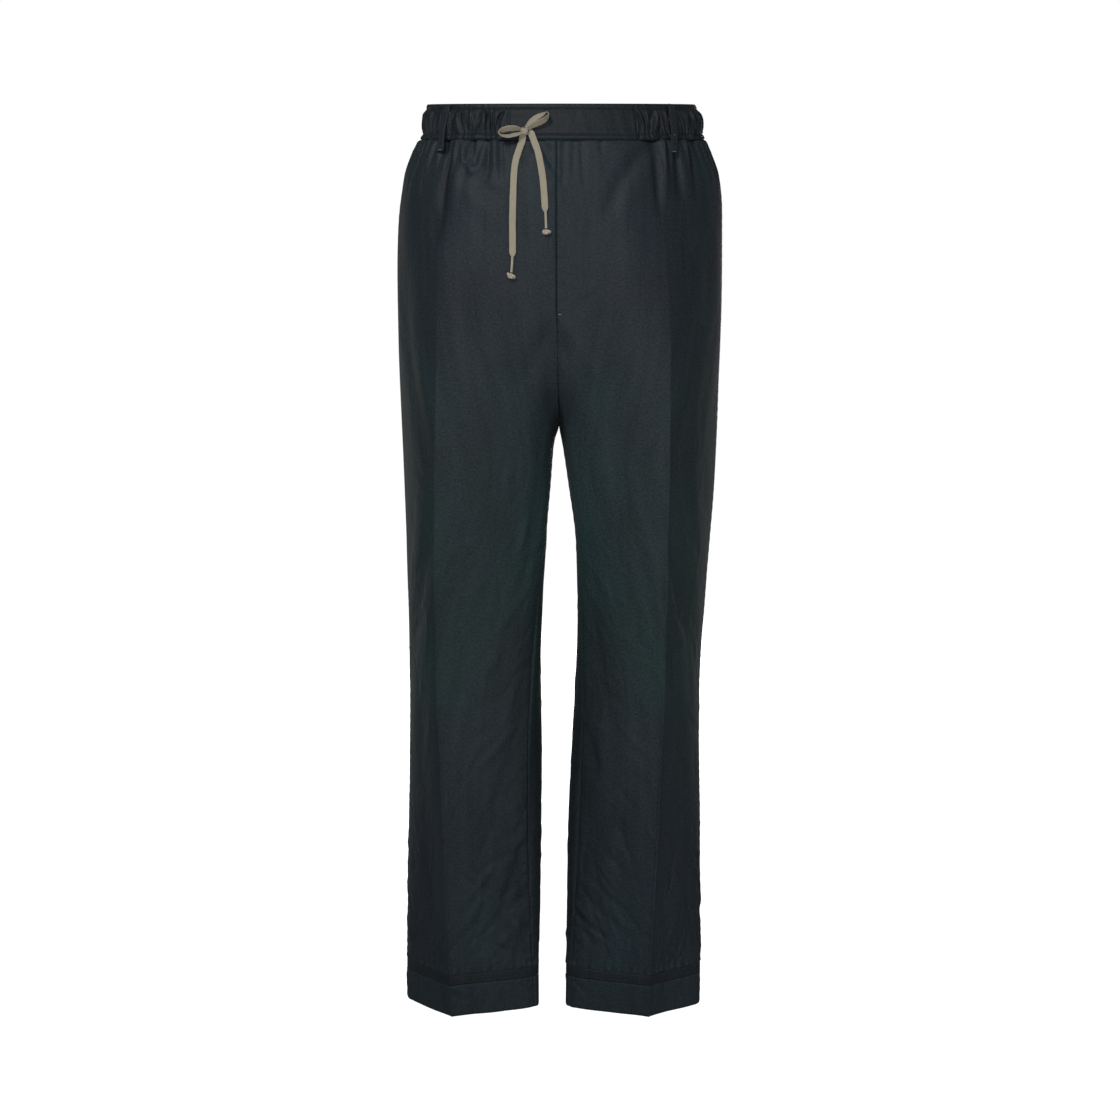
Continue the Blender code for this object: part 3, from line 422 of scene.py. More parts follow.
class Line:
    """A dense line of points that is read by the share of its length."""

    def __init__(self, points: np.ndarray) -> None:
        """Measure the line through some points.

        Args:
            points: Places along the line.
        """
        self.points = np.asarray(points, dtype=float)
        self.marks = travelled(self.points)
        self.length = float(self.marks[-1])

    def at(self, shares: np.ndarray) -> np.ndarray:
        """Points at some shares of the length."""
        target = np.clip(shares, 0.0, 1.0) * self.length
        return np.stack([np.interp(target, self.marks, axis) for axis in self.points.T], axis=-1)

    def share_of(self, index: int) -> float:
        """Share of the length at one of the points."""
        return float(self.marks[index] / self.length)

    def share_across(self, across: float, side: Side) -> float:
        """Share of the length at which the line lies so far out, before it turns back.

        Args:
            across: Distance out from the middle.
            side: The wearer's side.

        Returns:
            The share.
        """
        reach = self.points[:, 0] * side.value
        top = int(np.argmax(reach)) + 1
        return float(np.interp(across, reach[:top], self.marks[:top])) / self.length


class Section(NamedTuple):
    """The cloth of one side at a drop."""

    front: Line
    back: Line
    front_crease: float
    back_crease: float


class Form:
    """The garment's hollow form: where its cloth lies at each drop."""

    @staticmethod
    def arc(start: np.ndarray, first: float, end: np.ndarray, last: float, side: Side,
            start_full: float = 1.0, end_full: float = 1.0) -> np.ndarray:
        """Points of a smooth stretch between two places with given headings.

        Args:
            start: First place, as across and depth.
            first: Heading there in degrees.
            end: Last place.
            last: Heading there.
            side: The wearer's side.
            start_full: How full the stretch is at its start.
            end_full: How full it is at its end.

        Returns:
            The points, as across and depth.
        """
        reach = np.linalg.norm(end - start) / math.cos(math.radians(abs(last - first)) / 4) ** 2

        def direction(heading: float, full: float) -> np.ndarray:
            """The tangent for a heading."""
            angle = math.radians(heading)
            return np.array([side.value * math.cos(angle), math.sin(angle)]) * reach * full

        t = np.linspace(0, 1, STEPS + 1)[:, None]
        return (
            (1 + 2 * t) * (1 - t) ** 2 * start
            + t * (1 - t) ** 2 * direction(first, start_full)
            + t * t * (3 - 2 * t) * end
            + t * t * (t - 1) * direction(last, end_full)
        )

    @staticmethod
    @lru_cache(maxsize=None)
    def section(side: Side, drop: float) -> Section:
        """Front and back lines of one side at a drop, with the shares where their creases lie.

        Args:
            side: The wearer's side.
            drop: How far down.

        Returns:
            The lines and the shares.
        """
        sign = side.value
        outline = {name: read(OUTLINES[side], name, drop) for name in Outline._fields[1:]}
        depth = {name: read(DEPTHS, name, drop) for name in Depth._fields[1:]}
        bend = {name: read(BENDS, name, drop) for name in Bend._fields[1:]}
        middle = depth["middle"] if drop <= CROTCH_DROP else sign * outline["inner"]
        start = np.array([middle, depth["centre_front"]])
        crease = np.array([sign * outline["crease"], depth["crease"]])
        outer = np.array([sign * outline["outer"], outline["side"]])
        back = np.array([sign * outline["back_crease"], depth["back_crease"]])
        end = np.array([middle, depth["centre_back"]]) if drop <= CROTCH_DROP else start

        full = bend["full"]
        front_in, front_out = bend["front"] - bend["front_corner"], bend["front"] + bend["front_corner"]
        back_in, back_out = bend["back"] - bend["back_corner"], bend["back"] + bend["back_corner"]
        inner_front = Form.arc(start, -bend["front_valley"], crease, front_in, side, full, 1.0)
        outer_front = Form.arc(crease, front_out, outer, 90, side, 1.0, full)
        outer_back = Form.arc(outer, 90, back, back_in, side, full, 1.0)
        inner_back = Form.arc(back, back_out, end, 180 + bend["back_valley"], side, 1.0, full)

        if outline["inset"] > 0:
            edge = outline["inner"] + outline["inset"]
            cut = int(np.argmax(np.abs(inner_front[:, 0]) >= edge))
            before, after = abs(inner_front[cut - 1, 0]), abs(inner_front[cut, 0])
            part = (edge - before) / (after - before)
            seam = inner_front[cut - 1] + part * (inner_front[cut] - inner_front[cut - 1])
            front_line = np.vstack([seam, inner_front[cut:], outer_front[1:]])
            back_line = np.vstack([outer_back, inner_back[1:], inner_front[1:cut], seam])
            crease_index = len(inner_front) - cut
        else:
            front_line = np.vstack([inner_front, outer_front[1:]])
            back_line = np.vstack([outer_back, inner_back[1:]])
            crease_index = STEPS

        front = Line(np.column_stack([front_line, height_at(drop, front_line[:, 1])]))
        rear = Line(np.column_stack([back_line, height_at(drop, back_line[:, 1])]))
        return Section(front, rear, front.share_of(crease_index), rear.share_of(STEPS))


def normals_of(grid: np.ndarray, sign: float) -> np.ndarray:
    """Outward directions of a grid of points whose rows run down and whose columns run across.

    Args:
        grid: The points.
        sign: The wearer's side, as 1 or -1.

    Returns:
        A direction for each point.
    """
    across = np.gradient(grid, axis=1)
    down = np.gradient(grid, axis=0)
    normal = np.cross(down, across) * sign
    return unit(normal)


@dataclass
class Relief:
    """How far the cloth of a face stands out of its plain form: gathers, folds and puckers."""

    side: Side
    face: Face
    fold_depth: float = 1.5
    shortest: float = 34.0
    longest: float = 92.0
    seam_width: float = 1.5
    seam_depth: float = 0.9
    waves: int = 26
    wave_height: float = 0.13
    wave_across: tuple[float, float] = (30, 110)
    wave_down: tuple[float, float] = (200, 620)
    crinkle_count: int = 250
    crinkle_top: float = 60.0
    crinkle_span: float = 980.0
    crinkle_slant: float = 58.0
    inner_crinkles: int = 70
    inner_top: float = 480.0
    inner_span: float = 500.0
    inner_reach: float = 0.34
    inner_slant: tuple[float, float] = (18, 62)
    crinkle_length: tuple[float, float] = (9, 34)
    crinkle_breadth: tuple[float, float] = (1.7, 4.6)
    crinkle_height: tuple[float, float] = (0.2, 0.62)
    drag_strengths: tuple[tuple[float, float], ...] = ((60, 1.9), (200, 1.1), (OUTSEAM, 1.3))
    join_top: float = 225.0
    join_bottom: float = 372.0
    waist_reach: float = 60.0
    gather_starts: dict = field(default_factory=lambda: {Side.RIGHT: 0.34, Side.LEFT: 0.46})
    front_folds: dict = field(default_factory=lambda: {Side.RIGHT: 12, Side.LEFT: 10})
    back_folds: int = 18

    def gathers(self, along: np.ndarray, drop: np.ndarray) -> np.ndarray:
        """Gathers that fall from the waist seam, each with its own depth and reach.

        Args:
            along: Share of the panel's width.
            drop: How far down.

        Returns:
            Millimetres out of the plain form.
        """
        front = self.face is Face.FRONT
        start = self.gather_starts[self.side] if front else 0.0
        folds = self.front_folds[self.side] if front else self.back_folds
        phase = np.clip((along - start) / (1 - start), 0, 1) * folds
        number = np.floor(phase) + (0 if front else BACK_FOLD_SHIFT)
        chance = (number * GOLDEN) % 1.0
        reach = self.shortest + (self.longest - self.shortest) * chance
        fade = 1 - smooth_step((drop - BAND_HEIGHT) / reach)
        strength = 0.75 + 0.5 * ((number * GOLDEN * 3) % 1.0)
        shape = np.sin(2 * math.pi * phase) + 0.3 * np.sin(4 * math.pi * phase)
        held = 0.35 + 0.65 * smooth_step((drop - BAND_HEIGHT) / 5)
        within = (along > start) & (along < 1)
        gathered = np.where(within, self.fold_depth * fade * strength * shape * held, 0.0)
        fine = 0.4 * np.sin(2 * math.pi * phase * 2.6 + 1.3 * np.sin(phase)) * bell(drop - BAND_HEIGHT, 11)
        return gathered + fine * smooth_step((along - start) / 0.05)

    def long_folds(self, along: np.ndarray, drop: np.ndarray) -> np.ndarray:
        """The long soft folds of the legs.

        Args:
            along: Share of the panel's width.
            drop: How far down.

        Returns:
            Millimetres out of the plain form.
        """
        total = np.zeros_like(along)
        for fold in LONG_FOLDS:
            if (fold.side, fold.face) == (self.side, self.face):
                down = np.clip((drop - fold.top) / (fold.bottom - fold.top), 0, 1)
                away = along - fold.along - fold.drift * down
                total += fold.height * np.sin(math.pi * down) * bell(away, fold.width)
        return total

    def drag_folds(self, across: np.ndarray, drop: np.ndarray) -> np.ndarray:
        """The shorter folds, along lines seen from the front or the back.

        Args:
            across: Distance from the middle.
            drop: How far down.

        Returns:
            Millimetres out of the plain form.
        """
        total = np.zeros_like(across)
        for fold in DRAG_FOLDS:
            if fold.face is not self.face or fold.places[0][0] * self.side.value < 0:
                continue
            places = np.array(fold.places)
            nearest = np.full(across.shape, 1e9)
            travel = np.zeros_like(across)
            steps = np.linalg.norm(np.diff(places, axis=0), axis=1)
            run = 0.0
            for first, second, step in zip(places[:-1], places[1:], steps):
                way = (second - first) / step
                part = np.clip((across - first[0]) * way[0] + (drop - first[1]) * way[1], 0, step)
                distance = np.hypot(across - first[0] - part * way[0], drop - first[1] - part * way[1])
                closer = distance < nearest
                nearest = np.where(closer, distance, nearest)
                travel = np.where(closer, (run + part) / steps.sum(), travel)
                run += step
            taper = np.sin(math.pi * (0.08 + 0.84 * travel)) ** 0.8
            if places[0, 1] < BAND_HEIGHT + 4:
                taper = np.where(travel < 0.5, 1.0, taper)
            strength = next(much for limit, much in self.drag_strengths if places[0, 1] < limit)
            total += fold.height * strength * taper * bell(nearest, fold.width)
        return total

    def unevenness(self, run: np.ndarray, drop: np.ndarray) -> np.ndarray:
        """Slight waves all over the cloth, longer down than across.

        Args:
            run: Distance across the panel.
            drop: How far down.

        Returns:
            Millimetres out of the plain form.
        """
        dice = np.random.default_rng(11 + 7 * self.side.value + (3 if self.face is Face.BACK else 0))
        total = np.zeros_like(run)
        for _ in range(self.waves):
            across_length = dice.uniform(*self.wave_across)
            down_length = dice.uniform(*self.wave_down) * dice.choice([-1, 1])
            phase = dice.uniform(0, 2 * math.pi)
            angle = 2 * math.pi * (run / across_length + drop / down_length) + phase
            total += self.wave_height * np.sin(angle)
        return total

    def crinkles(self, run: np.ndarray, width: np.ndarray, drop: np.ndarray) -> np.ndarray:
        """Small short wrinkles of well-used cloth, closer and deeper towards the hem.

        Args:
            run: Distance across the panel.
            width: Width of the panel.
            drop: How far down.

        Returns:
            Millimetres out of the plain form.
        """
        dice = np.random.default_rng(43 + 5 * self.side.value + (2 if self.face is Face.BACK else 0))
        total = np.zeros_like(run)
        for number in range(self.crinkle_count + self.inner_crinkles):
            middle = self.crinkle_top + self.crinkle_span * dice.uniform() ** 0.72
            across = dice.uniform(0.02, 0.98) * float(width.mean())
            slant = math.radians(dice.uniform(-self.crinkle_slant, self.crinkle_slant))
            if number >= self.crinkle_count:
                middle = self.inner_top + self.inner_span * dice.uniform() ** 0.8
                inward = dice.uniform(0.0, self.inner_reach)
                across = (inward if self.face is Face.FRONT else 1 - inward) * float(width.mean())
                slant = math.radians(dice.uniform(*self.inner_slant)) * (1 if self.face is Face.FRONT else -1)
            length = dice.uniform(*self.crinkle_length)
            breadth = dice.uniform(*self.crinkle_breadth)
            height = dice.uniform(*self.crinkle_height) * dice.choice([-1, 1])
            height *= 0.35 + 0.65 * float(smooth_step((middle - 330) / 160)) + 0.8 * float(middle > 860)
            bow = dice.uniform(-0.25, 0.25)
            away, down = run - across, drop - middle
            along = away * math.sin(slant) + down * math.cos(slant)
            off = away * math.cos(slant) - down * math.sin(slant) + bow * along * along / length
            total += height * bell(off, breadth) * bell(along, length)
        return total

    def seams(self, run: np.ndarray, rest: np.ndarray, drop: np.ndarray) -> np.ndarray:
        """Cloth turned in at the seams, and its small puckers beside them.

        Args:
            run: Distance across the panel.
            rest: Distance from the panel's other edge.
            drop: How far down.

        Returns:
            Millimetres out of the plain form.
        """
        middle, side = (run, rest) if self.face is Face.FRONT else (rest, run)
        inner = bell(middle, self.seam_width)
        outer = bell(side, self.seam_width)
        joined = smooth_step((drop - self.join_top) / 40) * (1 - smooth_step((drop - self.join_bottom) / 26))
        pucker = 0.16 * np.sin(2 * math.pi * drop / 11 + 2 * np.sin(drop / 31)) * bell(side - 4, 3.5)
        inner_pucker = 0.22 * np.sin(2 * math.pi * drop / 14 + 2 * np.sin(drop / 23)) * bell(middle - 5, 4)
        total = -self.seam_depth * (inner * (1 - joined) + outer)
        total += joined * 0.5 * (bell(middle, 7) - bell(middle, 1.2))
        total += pucker + inner_pucker * (1 - joined)
        if self.face is Face.FRONT:
            fly = smooth_step((drop - 39) / 3) * (1 - smooth_step((drop - 229) / 10))
            if self.side is Side.LEFT:
                down = np.clip((drop - FLY_BEND_DROP) / (FLY_END - FLY_BEND_DROP), 0, 1)
                edge = FLY_WIDTH * np.sqrt(1 - down ** 2)
                over = 1 - smooth_step((run - edge + 1.0) / 2.0)
                total += fly * (0.4 * over + self.seam_depth * inner)
                groove = -0.4 * bell(run - edge, 0.7)
                teeth = 0.18 * np.sin(2 * math.pi * drop / 3.4) * bell(run - edge, 2.2)
                total += fly * (groove + teeth)
            else:
                total -= fly * 0.5 * (1 - smooth_step(run / 5))
        return total

    def hem(self, run: np.ndarray, drop: np.ndarray) -> np.ndarray:
        """Puckers above and below the hem's band, and the doubled cloth below it.

        Args:
            run: Distance across the panel.
            drop: How far down.

        Returns:
            Millimetres out of the plain form.
        """
        wobble = np.sin(2 * math.pi * run / 9.3 + 1.7 * np.sin(run / 17))
        second = np.sin(2 * math.pi * run / 15.7 + 2.1 * np.sin(run / 29))
        above = np.where(drop < HEM_BAND_TOP, bell(drop - HEM_BAND_TOP, 10), 0.0)
        below = np.where(drop > HEM_BAND_BOTTOM, bell(drop - HEM_BAND_BOTTOM, 7), 0.0)
        covered = smooth_step((drop - HEM_BAND_TOP + 1) / 1.6)
        covered *= 1 - smooth_step((drop - HEM_BAND_BOTTOM) / 1.4)
        puckers = (0.62 * wobble + 0.45 * second) * (above + 0.45 * below)
        turn = -0.7 * bell(drop - OUTSEAM, 1.1)
        return puckers - 0.8 * covered + turn

    def total(self, along: np.ndarray, across: np.ndarray, width: np.ndarray, drop: np.ndarray) -> np.ndarray:
        """Sum of every fold.

        Args:
            along: Share of the panel's width.
            across: Distance from the middle.
            width: Width of the panel.
            drop: How far down.

        Returns:
            Millimetres out of the plain form.
        """
        run = along * width
        rest = (1 - along) * width
        ease = smooth_step((drop - self.waist_reach) / self.waist_reach)
        level = 1 - 0.85 * bell(drop - (HEM_BAND_TOP + HEM_BAND_BOTTOM) / 2, 16)
        side = rest if self.face is Face.FRONT else run
        calm = 1 - 0.5 * bell(side, 45)
        return (
            self.gathers(along, drop)
            + self.long_folds(along, drop) * level * 0.75
            + self.crinkles(run, width, drop) * level
            + self.drag_folds(across, drop) * level
            + self.unevenness(run, drop) * (0.35 + 0.65 * ease) * level * calm
            + self.seams(run, rest, drop)
            + self.hem(run, drop)
        )


def spaced(stops: Sequence[float], steps: Sequence[float]) -> np.ndarray:
    """Marks between stops, each stretch with its own spacing, in an odd number altogether.

    Args:
        stops: Where the stretches start and end.
        steps: Spacing wanted in each.

    Returns:
        The marks.
    """
    parts = []
    for first, last, step in zip(stops, stops[1:], steps):
        count = max(2, round((last - first) / step))
        parts.append(np.linspace(first, last, count + 1)[:-1])
    marks = np.concatenate(parts + [[stops[-1]]])
    if len(marks) % 2 == 0:
        marks = np.insert(marks, 1, (marks[0] + marks[1]) / 2)
    return marks


@dataclass
class ClothFace:
    """The outer surface of one leg panel, as a grid of points that other pieces are laid on."""

    side: Side
    face: Face
    top_tuck: float = 2.2
    easing: float = 20.0
    long_easing: float = 85.0
    crest: float = 0.8
    crest_width: float = 0.011
    tuck_end: float = 38.4
    crease_start: float = 300.0
    fine_share: float = 0.03
    back_share: float = 1.15
    drops: np.ndarray = field(init=False)
    marks: np.ndarray = field(init=False)
    base: np.ndarray = field(init=False)
    normal: np.ndarray = field(init=False)
    raised: np.ndarray = field(init=False)
    outer: np.ndarray = field(init=False)
    run: np.ndarray = field(init=False)

    def __post_init__(self) -> None:
        """Work out the grid."""
        self.drops = spaced(
            (35, self.tuck_end, 40, 62, 130, 340, 380, 950, 990, OUTSEAM),
            (1.2, 0.5, 1.5, 2.2, 3, 2.5, 3.2, 2.2, 1.4),
        )
        front = self.face is Face.FRONT
        after = 1.0 if front else self.back_share
        fine = self.fine_share
        stops = (0, fine, 1.0 - fine, 1.0, 1.0 + fine, 1.0 + after - fine, 1.0 + after)
        marks = spaced(stops, (0.006, 0.0145 if front else 0.0135, 0.006, 0.006, 0.0165, 0.006))
        self.marks = np.where(marks <= 1.0, marks, 1 + (marks - 1.0) / after)
        rows, widths, shares = [], [], []
        for drop in self.drops:
            section = Form.section(self.side, float(drop))
            line = section.front if front else section.back
            crease = section.front_crease if front else section.back_crease
            share = np.where(self.marks <= 1, crease * self.marks, crease + (1 - crease) * (self.marks - 1))
            rows.append(line.at(share))
            shares.append(share)
            widths.append(line.length)
        self.base = np.array(rows)
        along = self.eased(np.array(shares), self.long_easing)
        width = self.eased(np.array(widths)[:, None] * np.ones_like(along), self.long_easing)
        drop = self.drops[:, None] * np.ones_like(along)
        self.run = along * width
        self.ease_down(drop, self.run if front else width - self.run)
        self.normal = normals_of(self.base, self.side.value)
        relief = Relief(self.side, self.face)
        folded = relief.total(along, self.base[..., 0], width, drop)
        pressed = smooth_step((drop - self.crease_start) / 160) * (1 - 0.5 * smooth_step((drop - 960) / 40))
        folded += self.crest * pressed * bell(self.marks - 1, self.crest_width)[None, :]
        self.raised = folded - self.top_tuck * (1 - smooth_step((drop - self.tuck_end) / 2.6))
        self.outer = self.base + self.normal * self.raised[..., None]

    def eased(self, grid: np.ndarray, reach: float) -> np.ndarray:
        """A grid averaged down the panel over about a reach.

        Args:
            grid: Rows of values, one for each drop.
            reach: How far the average reaches.

        Returns:
            The averaged grid.
        """
        share = bell(self.drops[:, None] - self.drops[None, :], reach) * np.gradient(self.drops)[None, :]
        share /= share.sum(axis=1, keepdims=True)
        return np.tensordot(share, grid, axes=1)

    def ease_down(self, drop: np.ndarray, from_middle: np.ndarray) -> None:
        """Round off bends down the plain form, except close to the middle seams, the waist and the hem.

        Args:
            drop: Drop of each point.
            from_middle: Distance of each point from the middle seam.
        """
        plain = self.base
        near = smooth_step((from_middle - 2) / 18) * smooth_step((drop - 75) / 30)
        near *= 1 - smooth_step((drop - 950) / 40)
        far = smooth_step((from_middle - 14) / 60) * smooth_step((drop - 170) / 90)
        far *= 1 - smooth_step((drop - 520) / 110)
        for reach, much in ((self.easing, near), (self.long_easing, far)):
            self.base = self.base * (1 - much[..., None]) + self.eased(plain, reach) * much[..., None]

    def place(self, mark: float, drop: float) -> tuple[np.ndarray, np.ndarray, float]:
        """Read the surface between its points.

        Args:
            mark: Column mark, 0 to 1 before the crease and 1 to 2 after it.
            drop: How far down.

        Returns:
            The place on the plain form, its outward direction, and how far the cloth stands out.
        """
        row = float(np.interp(drop, self.drops, np.arange(len(self.drops))))
        column = float(np.interp(mark, self.marks, np.arange(len(self.marks))))
        i, j = min(int(row), len(self.drops) - 2), min(int(column), len(self.marks) - 2)
        a, b = row - i, column - j

        def blend(grid: np.ndarray) -> np.ndarray:
            """Mix of the four nearest values.

            Args:
                grid: Values at the surface's points.

            Returns:
                The mix.
            """
            upper = grid[i, j] * (1 - b) + grid[i, j + 1] * b
            lower = grid[i + 1, j] * (1 - b) + grid[i + 1, j + 1] * b
            return upper * (1 - a) + lower * a

        outward = blend(self.normal)
        return blend(self.base), outward / np.linalg.norm(outward), float(blend(self.raised))

    def mark_at(self, across: float, drop: float) -> float:
        """Column mark of the place that lies so far from the middle.

        Args:
            across: Distance from the middle.
            drop: How far down.

        Returns:
            The mark.
        """
        row = int(np.argmin(np.abs(self.drops - drop)))
        reach = self.base[row, :, 0] * self.side.value
        top = int(np.argmax(reach))
        out = across * self.side.value
        if self.face is Face.FRONT:
            return float(np.interp(out, reach[: top + 1], self.marks[: top + 1]))
        return float(np.interp(-out, -reach[top:], self.marks[top:]))


class Mesher:
    """Makes mesh objects from grids of points in millimetres."""

    @staticmethod
    def build(name: str, points: np.ndarray, faces: Sequence[Sequence[int]], uv: Optional[np.ndarray],
              finish: bpy.types.Material, painted_shade_relief: Optional[np.ndarray] = None) -> bpy.types.Object:
        """Make one smooth object.

        Args:
            name: The piece's name.
            points: Points in millimetres.
            faces: Faces as numbers of points.
            uv: Flat place of each point in metres.
            finish: The piece's material.
            painted_shade_relief: How far each point stands out, which the finish turns into painted shade in
                the hollows.

        Returns:
            The object, riding on the garment.
        """
        mesh = bpy.data.meshes.new(name)
        mesh.from_pydata((np.asarray(points) * MM).tolist(), [], faces)
        mesh.shade_smooth()
        mesh.materials.append(finish)
        if uv is not None:
            layer = mesh.uv_layers.new(name="flat")
            corners = np.zeros(len(mesh.loops), dtype=np.int32)
            mesh.loops.foreach_get("vertex_index", corners)
            layer.data.foreach_set("uv", np.asarray(uv, dtype=np.float32)[corners].ravel())
        # The relief height is kept on the mesh for the finish's painted shade in the cloth's hollows.
        if painted_shade_relief is not None:
            attribute = mesh.attributes.new(name="relief", type="FLOAT", domain="POINT")
            attribute.data.foreach_set("value", np.asarray(painted_shade_relief, dtype=np.float32))
        item = bpy.data.objects.new(name, mesh)
        bpy.context.scene.collection.objects.link(item)
        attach(item, "root")
        return item

    @staticmethod
    def quads(numbers: np.ndarray) -> list[list[int]]:
        """Faces between the rows and columns of a grid of point numbers."""
        corners = (numbers[:-1, :-1], numbers[1:, :-1], numbers[1:, 1:], numbers[:-1, 1:])
        return np.stack(corners, axis=-1).reshape(-1, 4).tolist()

    @staticmethod
    def tube_faces(numbers: np.ndarray) -> list[list[int]]:
        """Faces round rings of point numbers, and one over each end."""
        around = Mesher.quads(np.hstack([numbers, numbers[:, :1]]))
        return around + [numbers[0].tolist(), numbers[-1][::-1].tolist()]

    @staticmethod
    def shell(name: str, outer: np.ndarray, normal: np.ndarray, wall: float, run: np.ndarray,
              drop: np.ndarray, finish: bpy.types.Material, relief: np.ndarray, sign: float,
              ring: bool = False) -> bpy.types.Object:
        """Make a thin closed shell, whose inner face has half the outer one's rows and columns.

        Args:
            name: The piece's name.
            outer: Grid of the outer face's points.
            normal: Outward directions.
            wall: Thickness.
            run: Distance across the flat cloth, for the weave.
            drop: Distance down it.
            finish: The piece's material.
            relief: How far each point stands out.
            sign: 1 where the grid's faces already turn outward, otherwise -1.
            ring: True where the last column meets the first.

        Returns:
            The object.
        """
        inner = (outer - normal * wall)[::2, ::2]
        rows, columns = outer.shape[:2]
        inner_rows, inner_columns = inner.shape[:2]
        points = np.vstack([outer.reshape(-1, 3), inner.reshape(-1, 3)])
        flat = np.stack([run, -drop], axis=-1) * MM
        uv = np.vstack([flat.reshape(-1, 2), flat[::2, ::2].reshape(-1, 2)])
        painted_shade_relief = np.concatenate([relief.ravel(), relief[::2, ::2].ravel()])
        out = np.arange(rows * columns).reshape(rows, columns)
        back = np.arange(inner_rows * inner_columns).reshape(inner_rows, inner_columns) + rows * columns
        if ring:
            out = np.hstack([out, out[:, :1]])
            back = np.hstack([back, back[:, :1]])

        def rim(fine: np.ndarray, coarse: np.ndarray) -> list[tuple[int, ...]]:
            """Faces between an edge and the inner edge, which has every second point.

            Args:
                fine: Point numbers of the outer edge.
                coarse: Point numbers of the inner edge.

            Returns:
                The triangles.
            """
            made = []
            for i in range(len(coarse) - 1):
                a, b, c = fine[2 * i], fine[2 * i + 1], fine[2 * i + 2]
                made.append((a, b, coarse[i]))
                made.append((b, coarse[i + 1], coarse[i]))
                made.append((b, c, coarse[i + 1]))
            return [tuple(int(n) for n in face) for face in made]

        rims = rim(out[0], back[0]) + [f[::-1] for f in rim(out[-1], back[-1])]
        if not ring:
            rims += [f[::-1] for f in rim(out[:, 0], back[:, 0])] + rim(out[:, -1], back[:, -1])
        faces = Mesher.quads(out) + [face[::-1] for face in Mesher.quads(back)] + rims
        if sign < 0:
            faces = [face[::-1] for face in faces]
        return Mesher.build(name, points, faces, uv, finish, painted_shade_relief)

    @staticmethod
    def ribbon(name: str, centres: np.ndarray, across: np.ndarray, widths: np.ndarray, wall: float,
               finish: bpy.types.Material, dip: float = 0.0) -> bpy.types.Object:
        """Make a flat tape with rounded edges along a line.

        Args:
            name: The piece's name.
            centres: Points of its middle line.
            across: Direction of its width at each.
            widths: Its width at each.
            wall: Its thickness.
            finish: Its material.
            dip: How much thinner it is along its middle.

        Returns:
            The object.
        """
        way = unit(np.gradient(centres, axis=0))
        side = across - way * np.sum(across * way, axis=1, keepdims=True)
        side = unit(side)
        out = np.cross(way, side)
        turns = np.linspace(0, 2 * math.pi, 24, endpoint=False)
        wide = np.sign(np.cos(turns)) * np.abs(np.cos(turns)) ** 0.6
        deep = np.sign(np.sin(turns)) * np.abs(np.sin(turns)) ** 0.6
        deep *= 1 - dip * (1 - np.abs(wide)) ** 2
        rings = (
            centres[:, None]
            + side[:, None] * (wide[None, :, None] * widths[:, None, None] / 2)
            + out[:, None] * (deep[None, :, None] * wall / 2)
        )
        length = travelled(centres)
        run = wide[None, :] * widths[:, None] / 2
        return Mesher.tube(name, rings, run, length[:, None] * np.ones_like(run), finish)

    @staticmethod
    def tube(name: str, rings: np.ndarray, run: np.ndarray, length: np.ndarray,
             finish: bpy.types.Material) -> bpy.types.Object:
        """Make a closed tube through rings of points.

        Args:
            name: The piece's name.
            rings: The rings.
            run: Distance round them.
            length: Distance along the tube.
            finish: Its material.

        Returns:
            The object.
        """
        count, sides = rings.shape[:2]
        faces = Mesher.tube_faces(np.arange(count * sides).reshape(count, sides))
        uv = np.stack([run, length], axis=-1).reshape(-1, 2) * MM
        return Mesher.build(name, rings.reshape(-1, 3), faces, uv, finish, np.zeros(count * sides))

    @staticmethod
    def round_rings(centres: np.ndarray, radius: np.ndarray, sides: int) -> tuple[np.ndarray, ...]:
        """Rings of points round a line, without twist.

        Args:
            centres: Points of the line.
            radius: Radius at each.
            sides: Points in a ring.

        Returns:
            The rings, the distance round them, and the distance along the line.
        """
        way = unit(np.gradient(centres, axis=0))
        axis = np.array([0.0, 1.0, 0.0]) if abs(way[0, 1]) < 0.8 else np.array([1.0, 0.0, 0.0])
        side = np.zeros_like(centres)
        for i, heading in enumerate(way):
            axis = axis - heading * np.dot(axis, heading)
            axis /= np.linalg.norm(axis)
            side[i] = axis
        out = np.cross(way, side)
        turns = np.linspace(0, 2 * math.pi, sides, endpoint=False)
        spread = side[:, None] * np.cos(turns)[None, :, None] + out[:, None] * np.sin(turns)[None, :, None]
        rings = centres[:, None] + spread * radius[:, None, None]
        length = travelled(centres)[:, None] * np.ones((1, sides))
        run = turns[None, :] * radius[:, None]
        return rings, run, length


def smooth_line(places: Sequence[Sequence[float]], count: int) -> np.ndarray:
    """A smooth line through given points, at an even spacing.

    Args:
        places: The points, with any number of columns.
        count: How many points the line gets.

    Returns:
        The points of the line.
    """
    given = np.array(places, dtype=float)
    padded = np.vstack([2 * given[0] - given[1], given, 2 * given[-1] - given[-2]])
    made = []
    for i in range(len(given) - 1):
        a, b, c, d = padded[i : i + 4]
        t = np.linspace(0, 1, 24, endpoint=False)[:, None]
        bend, twist = 2 * a - 5 * b + 4 * c - d, 3 * b - a - 3 * c + d
        made.append(0.5 * (2 * b + (c - a) * t + bend * t**2 + twist * t**3))
    dense = np.vstack(made + [given[-1:]])
    marks = travelled(dense[:, :3])
    wanted = np.linspace(0, marks[-1], count)
    return np.stack([np.interp(wanted, marks, column) for column in dense.T], axis=-1)


